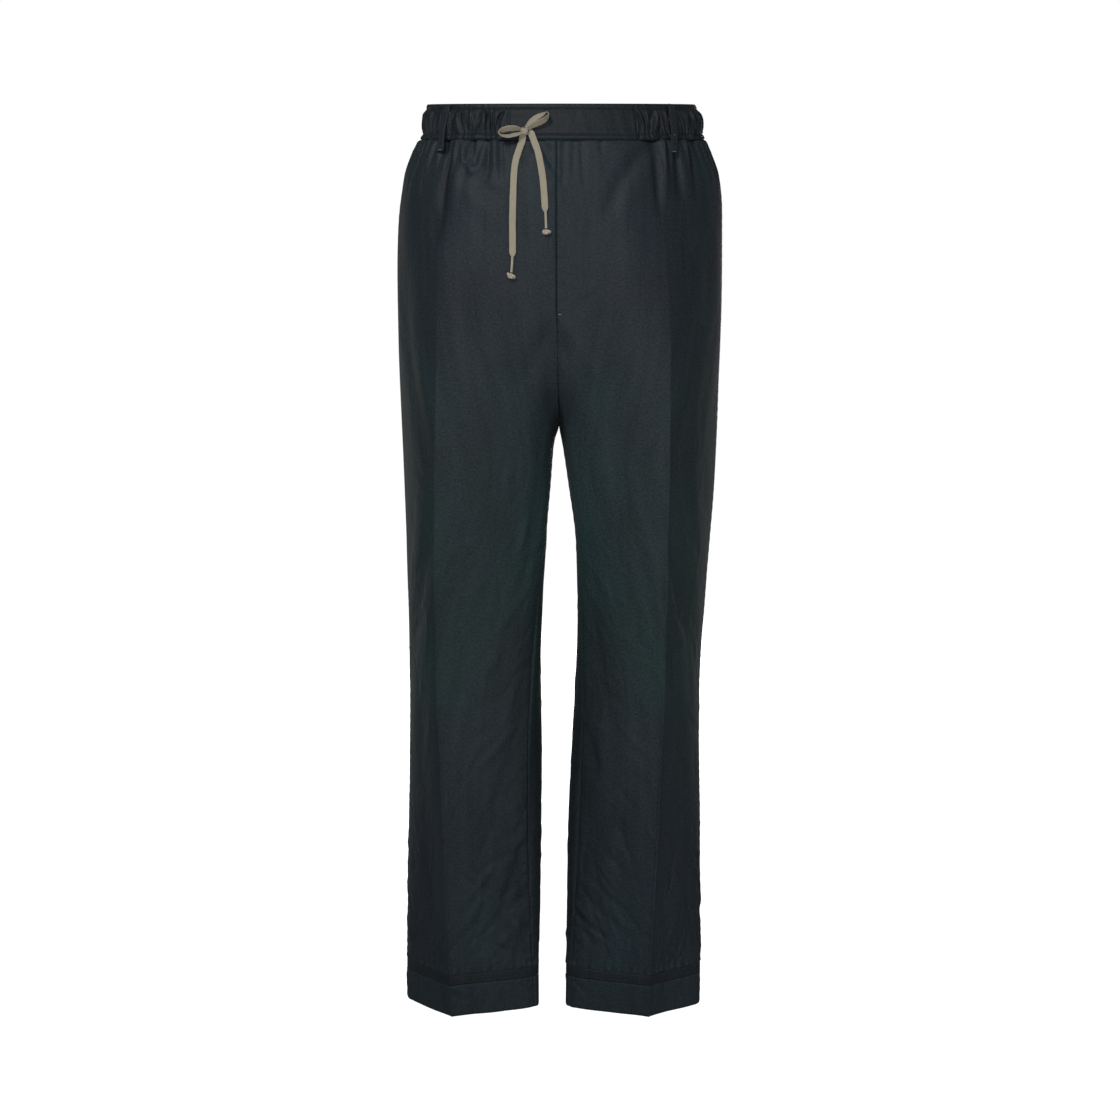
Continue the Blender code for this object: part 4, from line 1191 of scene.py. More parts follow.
class Value:
    """A number in a material, on which arithmetic adds Math nodes."""

    def __init__(self, nodes: "Nodes", socket: bpy.types.NodeSocket) -> None:
        """Wrap a socket."""
        self.nodes = nodes
        self.socket = socket

    def _math(self, operation: str, first: object, second: object = None) -> "Value":
        """Add one Math node."""
        inputs = {0: first} if second is None else {0: first, 1: second}
        return self.nodes.value("ShaderNodeMath", {"operation": operation}, inputs)

    def __add__(self, other: object) -> "Value":
        """Sum."""
        return self._math("ADD", self, other)

    __radd__ = __add__

    def __sub__(self, other: object) -> "Value":
        """Difference."""
        return self._math("SUBTRACT", self, other)

    def __rsub__(self, other: object) -> "Value":
        """Difference from a number."""
        return self._math("SUBTRACT", other, self)

    def __mul__(self, other: object) -> "Value":
        """Product."""
        return self._math("MULTIPLY", self, other)

    __rmul__ = __mul__

    def __pow__(self, power: float) -> "Value":
        """Power."""
        return self._math("POWER", self, power)

    def clamped(self) -> "Value":
        """The value held between 0 and 1."""
        return self._math("MINIMUM", self._math("MAXIMUM", self, 0.0), 1.0)


class Nodes:
    """Makes the nodes of one material."""

    def __init__(self, name: str) -> None:
        """Start a material with its Principled shader.

        Args:
            name: The material's name.
        """
        self.material = bpy.data.materials.new(name)
        self.material.use_nodes = True
        self.tree = self.material.node_tree
        self.shader = self.tree.nodes["Principled BSDF"]

    def node(self, kind: str, settings: dict, inputs: dict) -> bpy.types.Node:
        """Add a node.

        Args:
            kind: The node's type.
            settings: Its settings, with a ramp's stops under "stops".
            inputs: Values or links of its sockets, by name or number.

        Returns:
            The node.
        """
        made = self.tree.nodes.new(kind)
        for key, setting in settings.items():
            if key == "stops":
                ramp = made.color_ramp
                while len(ramp.elements) < len(setting):
                    ramp.elements.new(0.5)
                for element, (position, colour) in zip(ramp.elements, setting):
                    element.position = position
                    element.color = (*colour, 1.0)
            else:
                setattr(made, key, setting)
        for key, given in inputs.items():
            self.feed(made.inputs[key], given)
        return made

    def feed(self, socket: bpy.types.NodeSocket, given: object) -> None:
        """Set a socket or link it.

        Args:
            socket: The socket.
            given: A number, a colour or a link.
        """
        if isinstance(given, Value):
            self.tree.links.new(given.socket, socket)
        elif isinstance(given, bpy.types.NodeSocket):
            self.tree.links.new(given, socket)
        elif isinstance(given, tuple) and len(given) == 3 and len(socket.default_value) == 4:
            socket.default_value = (*given, 1.0)
        else:
            socket.default_value = given

    def value(self, kind: str, settings: dict, inputs: dict, output: object = 0) -> Value:
        """Add a node and wrap one of its outputs."""
        return Value(self, self.node(kind, settings, inputs).outputs[output])

    def stretched(self, coordinate: Value, scale: tuple[float, float, float]) -> Value:
        """A coordinate scaled along each axis."""
        return self.value("ShaderNodeVectorMath", {"operation": "MULTIPLY"}, {0: coordinate, 1: scale})

    def noise(self, coordinate: Value, scale: float, detail: float = 2.0, rough: float = 0.5) -> Value:
        """Noise from 0 to 1 on a coordinate."""
        inputs = {"Vector": coordinate, "Scale": scale, "Detail": detail, "Roughness": rough}
        return self.value("ShaderNodeTexNoise", {}, inputs, "Fac")

    def mixed(self, share: object, first: object, second: object, way: str = "MIX") -> Value:
        """A mix of two colours.

        Args:
            share: Share of the second.
            first: The first.
            second: The second.
            way: How they mix.

        Returns:
            The mixed colour.
        """
        settings = {"data_type": "RGBA", "blend_type": way}
        mix = self.node("ShaderNodeMix", settings, {0: share, 6: first, 7: second})
        return Value(self, mix.outputs[2])

    def ramp(self, factor: Value, stops: Sequence[tuple[float, Colour]]) -> Value:
        """A colour for each value of a factor."""
        return self.value("ShaderNodeValToRGB", {"stops": stops}, {"Fac": factor}, "Color")

    def bump(self, relief: Value, distance: float, strength: float, under: Optional[Value] = None) -> Value:
        """A normal that follows a height.

        Args:
            relief: The height, from 0 to 1.
            distance: Metres at a height of 1.
            strength: How strongly it shows.
            under: A normal that it is laid over.

        Returns:
            The normal.
        """
        inputs = {"Strength": strength, "Distance": distance, "Height": relief}
        if under is not None:
            inputs["Normal"] = under
        return self.value("ShaderNodeBump", {}, inputs, "Normal")

    def dress(self, **sockets: object) -> bpy.types.Material:
        """Feed the shader's sockets.

        Args:
            sockets: What each gets, with underscores for spaces.

        Returns:
            The material.
        """
        for key, given in sockets.items():
            self.feed(self.shader.inputs[key.replace("_", " ")], given)
        return self.material


@dataclass(frozen=True)
class LustrousCloth:
    """Near-black satin-faced cloth with fine horizontal slubs and soft streaks."""

    name: str
    top: Colour = (0.0186, 0.0224, 0.0290)
    middle: Colour = (0.0161, 0.0266, 0.0292)
    low: Colour = (0.0144, 0.0198, 0.0260)
    roughness: float = 0.54
    specular: float = 0.16

    def make(self) -> bpy.types.Material:
        """Build the material.

        Returns:
            The material.
        """
        nodes = Nodes(self.name)
        uv = nodes.value("ShaderNodeUVMap", {"uv_map": "flat"}, {}, "UV")
        place = nodes.value("ShaderNodeTexCoord", {}, {}, "Object")
        height = nodes.value("ShaderNodeSeparateXYZ", {}, {"Vector": place}, "Z")
        across = nodes.value("ShaderNodeSeparateXYZ", {}, {"Vector": place}, "X")
        aside = nodes.value("ShaderNodeMath", {"operation": "ABSOLUTE"}, {0: across})
        # Painted light: the inner thighs, which the lamps leave darker, get a colour up to 1.9 times as
        # light.
        offset = (height + 0.40) * 6.2
        inner = (1.0 - aside * 13.0).clamped() * (1.0 - offset * offset).clamped()
        # Painted shade: the inner calves, where the legs shade each other, get a colour up to about a third
        # darker.
        under = (height + 0.76) * 4.6
        calf_painted_shade = (1.6 - aside * 20.0).clamped() * (1.0 - under * under).clamped()
        # The colour darkens from the top towards the hem: in part the cloth's own shift from slate to teal,
        # in part painted shade on the lower legs.
        level = (height * (1 / 1.05) + 1.0).clamped()
        low, middle = self.low, self.middle
        stops = ((0.0, low), (0.22, low), (0.42, middle), (0.62, middle), (0.82, self.top))
        ramped = nodes.ramp(level, stops)
        patch = nodes.noise(nodes.stretched(uv, (7.0, 4.0, 1.0)), 1.0, 2.0)
        greened = nodes.mixed(1.0, ramped, (0.80, 1.05, 0.97), "MULTIPLY")
        plain = nodes.mixed(((patch - 0.42) * 4.0).clamped(), ramped, greened)
        slub = nodes.noise(nodes.stretched(uv, (90.0, 900.0, 1.0)), 1.0, 3.0, 0.6)
        thread = nodes.noise(nodes.stretched(uv, (1500.0, 260.0, 1.0)), 1.0, 2.0)
        streak = nodes.noise(nodes.stretched(uv, (95.0, 9.0, 1.0)), 1.0, 3.0)
        cloud = nodes.noise(nodes.stretched(uv, (14.0, 8.0, 1.0)), 1.0, 2.0)
        relief = nodes.value("ShaderNodeAttribute", {"attribute_name": "relief"}, {}, "Fac")
        grain = nodes.noise(nodes.stretched(uv, (350.0, 430.0, 1.0)), 1.0, 2.0, 0.7)
        tone = -0.92 + slub * 0.6 + thread * 0.5 + streak * 0.5 + cloud * 0.54 + grain * 1.7
        # Painted light and shade in the colour: the cloth's hollows are darkened from the relief height, the
        # inner thighs lightened and the inner calves darkened.
        painted_light_and_shade = ((relief * 0.16 + 1.0).clamped() * 0.5 + 0.5) * (1.0 + inner * 0.9) * (1.0 - calf_painted_shade * 0.36)
        shade = nodes.value("ShaderNodeCombineColor", {}, {0: tone * painted_light_and_shade, 1: tone * painted_light_and_shade, 2: tone * painted_light_and_shade}, 0)
        colour = nodes.mixed(1.0, plain, shade, "MULTIPLY")
        weave = slub * 0.4 + thread * 0.3 + grain * 0.3
        fine = nodes.bump(weave, 0.0008, 0.75)
        creased = nodes.noise(nodes.stretched(uv, (70.0, 40.0, 1.0)), 1.0, 4.0, 0.6)
        ridged = nodes.value(
            "ShaderNodeTexNoise", {"noise_type": "RIDGED_MULTIFRACTAL"},
            {"Vector": nodes.stretched(uv, (44.0, 21.0, 1.0)), "Scale": 1.0, "Detail": 3.0,
             "Roughness": 0.45, "Distortion": 0.6}, "Fac",
        )
        lower = (1.0 - level * 1.25).clamped() * 0.7 + 0.3
        wrinkled = creased * 0.45 + streak * 0.25 + ridged * 0.3 * lower
        normal = nodes.bump(wrinkled, 0.0030, 0.7, fine)
        gloss = self.roughness - 0.06 + cloud * 0.08 + slub * 0.05
        return nodes.dress(
            Base_Color=colour, Roughness=gloss, Normal=normal,
            Specular_IOR_Level=self.specular, Sheen_Weight=0.02, Sheen_Roughness=0.35,
        )


@dataclass(frozen=True)
class SewingThread:
    """Twisted sewing thread."""

    name: str
    colour: Colour
    roughness: float = 0.55

    def make(self) -> bpy.types.Material:
        """Build the material.

        Returns:
            The material.
        """
        nodes = Nodes(self.name)
        place = nodes.value("ShaderNodeTexCoord", {}, {}, "Object")
        grain = nodes.noise(place, 2600.0, 2.0)
        darker = tuple(c * 0.6 for c in self.colour)
        colour = nodes.mixed(grain, darker, self.colour)
        normal = nodes.bump(grain, 0.0002, 0.5)
        return nodes.dress(Base_Color=colour, Roughness=self.roughness + grain * 0.1, Normal=normal)


@dataclass(frozen=True)
class WovenTape:
    """Flat woven tape with a fine twill and softly rubbed edges."""

    name: str
    colour: Colour
    shadow: Colour

    def make(self) -> bpy.types.Material:
        """Build the material.

        Returns:
            The material.
        """
        nodes = Nodes(self.name)
        uv = nodes.value("ShaderNodeUVMap", {"uv_map": "flat"}, {}, "UV")
        parts = nodes.node("ShaderNodeSeparateXYZ", {}, {"Vector": uv})
        run, length = Value(nodes, parts.outputs["X"]), Value(nodes, parts.outputs["Y"])
        wale = nodes.value("ShaderNodeMath", {"operation": "ABSOLUTE"}, {0: run})
        slant = length * 2900.0 + wale * 3600.0
        rib = nodes.value("ShaderNodeMath", {"operation": "SINE"}, {0: slant}) * 0.5 + 0.5
        grain = nodes.noise(nodes.stretched(uv, (2200.0, 700.0, 1.0)), 1.0, 2.0)
        patch = nodes.noise(nodes.stretched(uv, (160.0, 60.0, 1.0)), 1.0, 2.0)
        tone = (rib * 0.4 + grain * 0.35 + patch * 0.35).clamped()
        colour = nodes.mixed(tone, self.shadow, self.colour)
        normal = nodes.bump(rib * 0.6 + grain * 0.4, 0.0004, 0.6)
        return nodes.dress(Base_Color=colour, Roughness=0.72 + grain * 0.12, Normal=normal, Sheen_Weight=0.2)


@dataclass(frozen=True)
class PaleFloor:
    """The studio's pale floor."""

    name: str = "pale_floor"

    def make(self) -> bpy.types.Material:
        """Build the material.

        Returns:
            The material.
        """
        nodes = Nodes(self.name)
        place = nodes.value("ShaderNodeTexCoord", {}, {}, "Object")
        grain = nodes.noise(place, 40.0, 3.0)
        colour = nodes.mixed(grain, (0.86, 0.86, 0.86), (0.9, 0.9, 0.9))
        return nodes.dress(
            Base_Color=colour, Roughness=0.9, Specular_IOR_Level=0.0,
            Emission_Color=(1.0, 1.0, 1.0), Emission_Strength=0.9,
        )


Stitch = tuple[np.ndarray, np.ndarray, np.ndarray]


@dataclass
class Stitcher:
    """Sews rows of small stitches onto a surface."""

    finish: bpy.types.Material
    length: float = 2.3
    pitch: float = 3.0
    radius: float = 0.22

    def capsule(self, start: np.ndarray, end: np.ndarray, out: np.ndarray) -> tuple[np.ndarray, list]:
        """Points and faces of one stitch, which rises a little in its middle.

        Args:
            start: Its start.
            end: Its end.
            out: Its outward direction.

        Returns:
            The points and the faces.
        """
        sides = 6
        steps = np.array([0.0, 0.12, 0.5, 0.88, 1.0])
        size = np.array([0.35, 0.85, 1.0, 0.85, 0.35])
        lift = np.array([-0.5, 0.2, 0.75, 0.2, -0.5])
        centres = start + (end - start) * steps[:, None] + out * (lift * self.radius)[:, None]
        way = (end - start) / np.linalg.norm(end - start)
        side = np.cross(way, out)
        turns = np.linspace(0, 2 * math.pi, sides, endpoint=False)
        spread = side * np.cos(turns)[None, :, None] + out * np.sin(turns)[None, :, None]
        rings = centres[:, None] + spread * (size * self.radius)[:, None, None]
        faces = [list(range(sides))[::-1], list(range(4 * sides, 5 * sides))]
        for ring in range(4):
            for step in range(sides):
                a, b = ring * sides + step, ring * sides + (step + 1) % sides
                faces.append([a, b, b + sides, a + sides])
        return rings.reshape(-1, 3), faces

    def sew(self, name: str, segments: Sequence[Stitch]) -> bpy.types.Object:
        """Make one piece of many stitches, each given by its start, end and outward direction.

        Args:
            name: The piece's name.
            segments: The stitches.

        Returns:
            The object.
        """
        points: list[np.ndarray] = []
        faces: list[list[int]] = []
        count = 0
        for start, end, out in segments:
            made, made_faces = self.capsule(start, end, out)
            faces += [[n + count for n in face] for face in made_faces]
            points.append(made)
            count += len(made)
        return Mesher.build(name, np.vstack(points), faces, None, self.finish)

    def row(self, line: np.ndarray, outs: np.ndarray) -> list[Stitch]:
        """Stitches along a line that lies on the cloth.

        Args:
            line: Points on the surface.
            outs: Outward direction at each.

        Returns:
            Start, end and outward direction of each stitch.
        """
        marks = travelled(line)
        starts = np.arange(self.pitch / 2, marks[-1] - self.pitch, self.pitch)
        made = []
        for start in starts:
            ends = []
            for mark in (start, start + self.length / 2, start + self.length):
                place = np.array([np.interp(mark, marks, axis) for axis in line.T])
                out = np.array([np.interp(mark, marks, axis) for axis in outs.T])
                ends.append((place, out / np.linalg.norm(out)))
            made.append((ends[0][0], ends[2][0], ends[1][1]))
        return made


class Garment:
    """The four panels' surfaces and the waist, on which everything else is laid."""

    def __init__(self) -> None:
        """Work out every face of cloth."""
        self.faces = {(side, face): ClothFace(side, face) for side in Side for face in Face}

    def spot(self, across: float, drop: float, out: float) -> tuple[np.ndarray, np.ndarray]:
        """A place over the front at a distance across, and its outward direction.

        Args:
            across: Distance from the middle.
            drop: How far down.
            out: Distance out of the folded cloth.

        Returns:
            The place and the direction.
        """
        side = Side.RIGHT if across < read(DEPTHS, "middle", drop) else Side.LEFT
        if drop < BAND_HEIGHT:
            section = Form.section(side, round(drop, 2))
            share = section.front.share_across(across * side.value, side)
            before, here, after = section.front.at(np.array([share - 0.004, share, share + 0.004]))
            step = after - before
            outward = np.array([step[1], -step[0], 0.0])
            outward /= np.linalg.norm(outward)
            if np.dot(outward, here) < 0:
                outward = -outward
            return here + outward * out, outward
        face = self.faces[(side, Face.FRONT)]
        base, outward, raised = face.place(face.mark_at(across, drop), drop)
        return base + outward * (raised + out), outward


@dataclass
class LegPanels:
    """The four panels of cloth that run from the waist seam to the hem."""

    garment: Garment
    cloth: LustrousCloth
    wall: float = 0.7
    flat_front: tuple[float, float] = (0.29, 1.07)
    flat_back: tuple[float, float] = (0.36, 1.07)
    front_area: float = 0.285
    back_area: float = 0.335
    lap: float = 1.4
    under: float = 0.45

    def lapped(self, surface: ClothFace) -> tuple[np.ndarray, ...]:
        """A back panel with a seam allowance that goes in under its neighbours at each edge.

        Args:
            surface: The panel's surface.

        Returns:
            Points, outward directions, distance across and relief.
        """
        outer, normal = surface.outer, surface.normal
        edges = []
        for edge, inner in ((0, 2), (-1, -3)):
            way = outer[:, edge] - outer[:, inner]
            way = unit(way)
            edges.append((outer[:, edge] + way * self.lap - normal[:, edge] * self.under)[:, None])
        grid = np.concatenate([edges[0], outer, edges[1]], axis=1)
        outs = np.concatenate([normal[:, :1], normal, normal[:, -1:]], axis=1)
        run, raised = surface.run, surface.raised
        run = np.concatenate([run[:, :1] - self.lap, run, run[:, -1:] + self.lap], axis=1)
        raised = np.concatenate([raised[:, :1], raised, raised[:, -1:]], axis=1)
        return grid, outs, run, raised

    def build(self) -> None:
        """Make the four panels as thin shells, each in place of its solid."""
        finish = self.cloth.make()
        for (side, face), surface in self.garment.faces.items():
            name = f"{face.value}_{side.name.lower()}"
            outer, normal, run, raised = surface.outer, surface.normal, surface.run, surface.raised
            if face is Face.BACK:
                outer, normal, run, raised = self.lapped(surface)
            drop = surface.drops[:, None] * np.ones_like(run)
            piece = Mesher.shell(
                f"cloth_{name}", outer, normal, self.wall, run, drop, finish, raised, side.value,
            )
            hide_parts(name)


@dataclass
class HemBands:
    """The narrow stitched band round each leg above its hem, with its two rows of stitches."""

    garment: Garment
    cloth: LustrousCloth
    thread: SewingThread
    wall: float = 0.5
    lift: float = 0.1
    inset: float = 1.6
    rows: int = 9

    def ring(self, side: Side, drops: np.ndarray, out: float) -> tuple[np.ndarray, ...]:
        """Points round a leg at some drops.

        Args:
            side: The wearer's side.
            drops: The drops.
            out: Distance out of the cloth.

        Returns:
            The points, their outward directions, and the distance round the leg.
        """
        points, normals = [], []
        for drop in drops:
            places, outs = [], []
            for face in Face:
                surface = self.garment.faces[(side, face)]
                for mark in surface.marks[:-1]:
                    base, outward, _ = surface.place(float(mark), float(drop))
                    raised = surface.place(float(mark), (HEM_BAND_TOP + HEM_BAND_BOTTOM) / 2)[2]
                    places.append(base + outward * (max(raised, -1.1) + out))
                    outs.append(outward)
            points.append(places)
            normals.append(outs)
        grid = np.array(points)
        steps = np.linalg.norm(np.diff(grid, axis=1, append=grid[:, :1]), axis=2)
        runs = np.concatenate([np.zeros((len(drops), 1)), np.cumsum(steps, axis=1)[:, :-1]], axis=1)
        return grid, np.array(normals), runs

    def build(self) -> None:
        """Make both bands and their stitches."""
        finish = self.cloth.make()
        stitcher = Stitcher(self.thread.make())
        for side in Side:
            hand = side.name.lower()
            drops = np.linspace(HEM_BAND_TOP, HEM_BAND_BOTTOM, self.rows)
            grid, normal, run = self.ring(side, drops, 0.0)
            middle = np.sin(np.linspace(0, math.pi, self.rows))[:, None, None]
            waver = 0.12 * np.sin(run / 2.1 + np.sin(run / 5.0))[..., None] * middle
            outer = grid + normal * (self.lift + self.wall + 0.2 * middle + waver)
            level = drops[:, None] * np.ones_like(run)
            piece = Mesher.shell(
                f"cloth_hem_band_{hand}", outer, normal, self.wall, run, level,
                finish, waver[..., 0], side.value, ring=True,
            )
            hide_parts(f"hem_band_{hand}")
            segments = []
            for drop in (HEM_BAND_TOP + self.inset, HEM_BAND_BOTTOM - self.inset):
                line, outs, _ = self.ring(side, np.array([drop]), self.lift + self.wall + 0.15)
                closed = np.vstack([line[0], line[0][:1]])
                segments += stitcher.row(closed, np.vstack([outs[0], outs[0][:1]]))
            stitches = stitcher.sew(f"stitches_hem_{hand}", segments)


@dataclass
class Waistband:
    """The waistband: a flat front stretch and a gathered elastic stretch round the back."""

    garment: Garment
    cloth: LustrousCloth
    thread: SewingThread
    wall: float = 1.6
    folds: int = 72
    fold_depth: float = 2.5
    columns: int = 1300
    flat_columns: int = 180

    def half(self, side: Side, drop: float) -> Line:
        """The line round one half of the waist, from the centre front to the centre back."""
        section = Form.section(side, drop)
        return Line(np.vstack([section.front.points, section.back.points[1:]]))

    def flat_share(self, side: Side, across: float) -> float:
        """Share of half the waist at which the flat front stretch ends."""
        return self.half(side, BAND_HEIGHT / 2).share_across(across, side)

    def path(self, drop: float, through_back: bool) -> Line:
        """The line of one stretch of the band at a drop.

        Args:
            drop: How far down.
            through_back: True for the elastic stretch.

        Returns:
            The line.
        """
        right = self.half(Side.RIGHT, drop)
        left = self.half(Side.LEFT, drop)
        right_share = self.flat_share(Side.RIGHT, FLAT_FRONT_RIGHT)
        left_share = self.flat_share(Side.LEFT, FLAT_FRONT_LEFT)
        if through_back:
            first = right.at(np.linspace(right_share, 1, 500))
            second = left.at(np.linspace(1, left_share, 500))
        else:
            first = left.at(np.linspace(left_share, 0, 160))
            second = right.at(np.linspace(0, right_share, 160))
        return Line(np.vstack([first, second[1:]]))

    def profile(self, drop: np.ndarray) -> np.ndarray:
        """Share of the gathers' depth at each drop.

        Args:
            drop: How far down.

        Returns:
            The share.
        """
        rise = smooth_step((drop - HEADER_DROP) / 6)
        fall = 1 - 0.6 * smooth_step((drop - 25) / 8.5)
        return np.where(drop < HEADER_DROP, 0.12, 0.12 + 0.88 * rise * fall)

    def gathered(self, along: np.ndarray, drop: np.ndarray) -> np.ndarray:
        """The elastic's gathers, uneven in pitch, depth and lean.

        Args:
            along: Share of the stretch's length.
            drop: How far down.

        Returns:
            Millimetres out of the plain form.
        """
        lean = 0.3 * np.sin(along * 151 + drop * 0.07) + 0.2 * np.sin(along * 67 - drop * 0.11)
        phase = along * self.folds + lean
        number = np.floor(phase)
        strength = 0.7 + 0.7 * ((number * GOLDEN) % 1.0)
        wave = 2.1 * strength * np.abs(np.sin(math.pi * phase)) ** 0.8 - 1.25
        minor = 0.3 * np.sin(2 * math.pi * phase * 2.37 + drop * 0.21)
        ends = smooth_step(along / 0.004) * smooth_step((1 - along) / 0.004)
        return self.fold_depth * self.profile(drop) * (wave + minor) * ends * 0.72

    def relief(self, run: np.ndarray, along: np.ndarray, drop: np.ndarray, elastic: bool) -> np.ndarray:
        """How far the band stands out of its plain form.

        Args:
            run: Distance along the stretch.
            along: Share of the stretch's length.
            drop: How far down.
            elastic: True for the elastic stretch.

        Returns:
            Millimetres out of the plain form.
        """
        total = -0.9 * bell(drop, 0.5)
        total -= 1.0 * bell(drop - HEADER_DROP, 0.8)
        total -= 0.8 * bell(drop - BAND_STITCH_DROP, 0.8)
        total -= 1.1 * bell(drop - BAND_HEIGHT, 0.6)
        total += 0.35 * bell(drop - 36.5, 1.6)
        teeth = np.sin(2 * math.pi * run / 3.3)
        total += 0.12 * teeth * (bell(drop - HEADER_DROP, 1.8) + bell(drop - BAND_STITCH_DROP, 1.8))
        if elastic:
            return total + self.gathered(along, drop) + 0.5 * bell(drop - 18, 10)
        length = float(run.max())
        total -= 0.9 * (bell(run, 1.0) + bell(length - run, 1.0))
        total += 0.5 * np.sin(run / 21.0 + 1.0) * bell(drop - 11, 3)
        total -= 0.8 * bell(drop - 26.5, 2.2) * bell(run - 28, 30)
        total -= 0.8 * bell(drop - 10.5, 1.8) * bell(run - 30, 26)
        near = bell(run, 16) + bell(length - run, 12)
        return total + 0.3 * np.sin(run / 2.6 + 0.08 * drop) * near * smooth_step((drop - 7) / 6)

    def stretch(self, through_back: bool) -> tuple[np.ndarray, ...]:
        """Grid of one stretch of the band.

        Args:
            through_back: True for the elastic stretch.

        Returns:
            Points, outward directions, distance along, drops and relief.
        """
        drops = spaced((0, 1.2, 4.4, 6.6, 32, 35, 38.2, 39.3), (0.3, 0.8, 0.37, 1.25, 0.4, 0.8, 0.3))
        along = np.linspace(0, 1, (self.columns if through_back else self.flat_columns) + 1)
        grid, normals, runs = [], [], []
        for drop in drops:
            line = self.path(float(drop), through_back)
            here = line.at(along)
            step = np.gradient(here, axis=0)
            outward = np.stack([step[:, 1], -step[:, 0], np.zeros(len(along))], axis=-1)
            outward = unit(outward)
            facing = np.sign(np.sum(outward * here, axis=1, keepdims=True))
            grid.append(here)
            normals.append(outward * facing)
            runs.append(along * line.length)
        grid, normals, run = np.array(grid), np.array(normals), np.array(runs)
        level = drops[:, None] * np.ones_like(run)
        relief = self.relief(run, along[None] * np.ones_like(run), level, through_back)
        return grid + normals * relief[..., None], normals, run, level, relief

    def build(self) -> None:
        """Make both stretches and their topstitching."""
        finish = self.cloth.make()
        stitcher = Stitcher(self.thread.make())
        for through_back, name in ((False, "waistband_front"), (True, "waistband_elastic")):
            outer, normal, run, level, relief = self.stretch(through_back)
            piece = Mesher.shell(f"cloth_{name}", outer, normal, self.wall, run, level, finish, relief, -1)
            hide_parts(name)
            segments = []
            for drop in (HEADER_DROP, BAND_STITCH_DROP):
                row = int(np.argmin(np.abs(level[:, 0] - drop)))
                segments += stitcher.row(outer[row] + normal[row] * 0.1, normal[row])
            stitches = stitcher.sew(f"stitches_{name}", segments)


@dataclass
class Facings:
    """The fly's extension and the strips behind the pocket mouths, inside the front."""

    garment: Garment
    cloth: LustrousCloth
    wall: float = 0.7
    inside: float = 2.2
    pocket_inside: float = 2.6
    pocket_top: float = 92.0
    pocket_bottom: float = 224.0
    pocket_reach: float = 0.11

    def patch(self, name: str, node: str, places: list[list[tuple[ClothFace, float, float]]], inside: float,
              sign: float) -> None:
        """Make one facing from rows of places on the cloth, moved inside it.

        Args:
            name: The piece's name.
            node: The solid that it replaces.
            places: Rows of a surface, a mark and a drop.
            inside: How far inside the cloth it lies.
            sign: 1 where the grid's faces already turn outward, otherwise -1.
        """
        grid, normals = [], []
        for row in places:
            spots = [surface.place(mark, drop) for surface, mark, drop in row]
            grid.append([base + outward * (min(raised, 0.6) - inside) for base, outward, raised in spots])
            normals.append([outward for _, outward, _ in spots])
        outer, normal = np.array(grid), np.array(normals)
        steps = np.linalg.norm(np.diff(outer, axis=1, prepend=outer[:, :1]), axis=2)
        run = np.cumsum(steps, axis=1)
        level = np.array([[drop for _, _, drop in row] for row in places])
        piece = Mesher.shell(name, outer, normal, self.wall, run, level, self.cloth.make(), run * 0, sign)
        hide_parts(node)

    def build(self) -> None:
        """Make the three facings."""
        front = self.garment.faces[(Side.LEFT, Face.FRONT)]
        drops = np.linspace(FLY_START, FLY_END - 0.6, 97)
        fly = []
        for drop in drops:
            down = max(0.0, (drop - FLY_BEND_DROP) / (FLY_END - FLY_BEND_DROP))
            reach = max(3.0, FLY_WIDTH * math.sqrt(max(0.0, 1 - down * down)))
            start = read(DEPTHS, "middle", drop) + 1.0
            marks = [front.mark_at(start + reach * share, drop) for share in np.linspace(0, 1, 17)]
            fly.append([(front, mark, float(drop)) for mark in marks])
        self.patch("cloth_fly_facing", "fly_facing", fly, self.inside, 1)
        for side in Side:
            before = self.garment.faces[(side, Face.FRONT)]
            behind = self.garment.faces[(side, Face.BACK)]
            rows = []
            for drop in np.linspace(self.pocket_top, self.pocket_bottom, 67):
                section = Form.section(side, float(drop))
                inner = 1 + (1 - self.pocket_reach - section.front_crease) / (1 - section.front_crease)
                outer = self.pocket_reach / section.back_crease
                row = [(before, float(mark), float(drop)) for mark in np.linspace(inner, 2, 9)]
                row += [(behind, float(mark), float(drop)) for mark in np.linspace(0, outer, 9)[1:]]
                rows.append(row)
            name = f"pocket_facing_{side.name.lower()}"
            self.patch(f"cloth_{name}", name, rows, self.pocket_inside, side.value)


class LoopPlace(NamedTuple):
    """Where a belt loop runs, from the band's top edge to its tack."""

    name: str
    side: Side
    face: Face
    top_across: float
    bottom_across: float
    bottom_drop: float


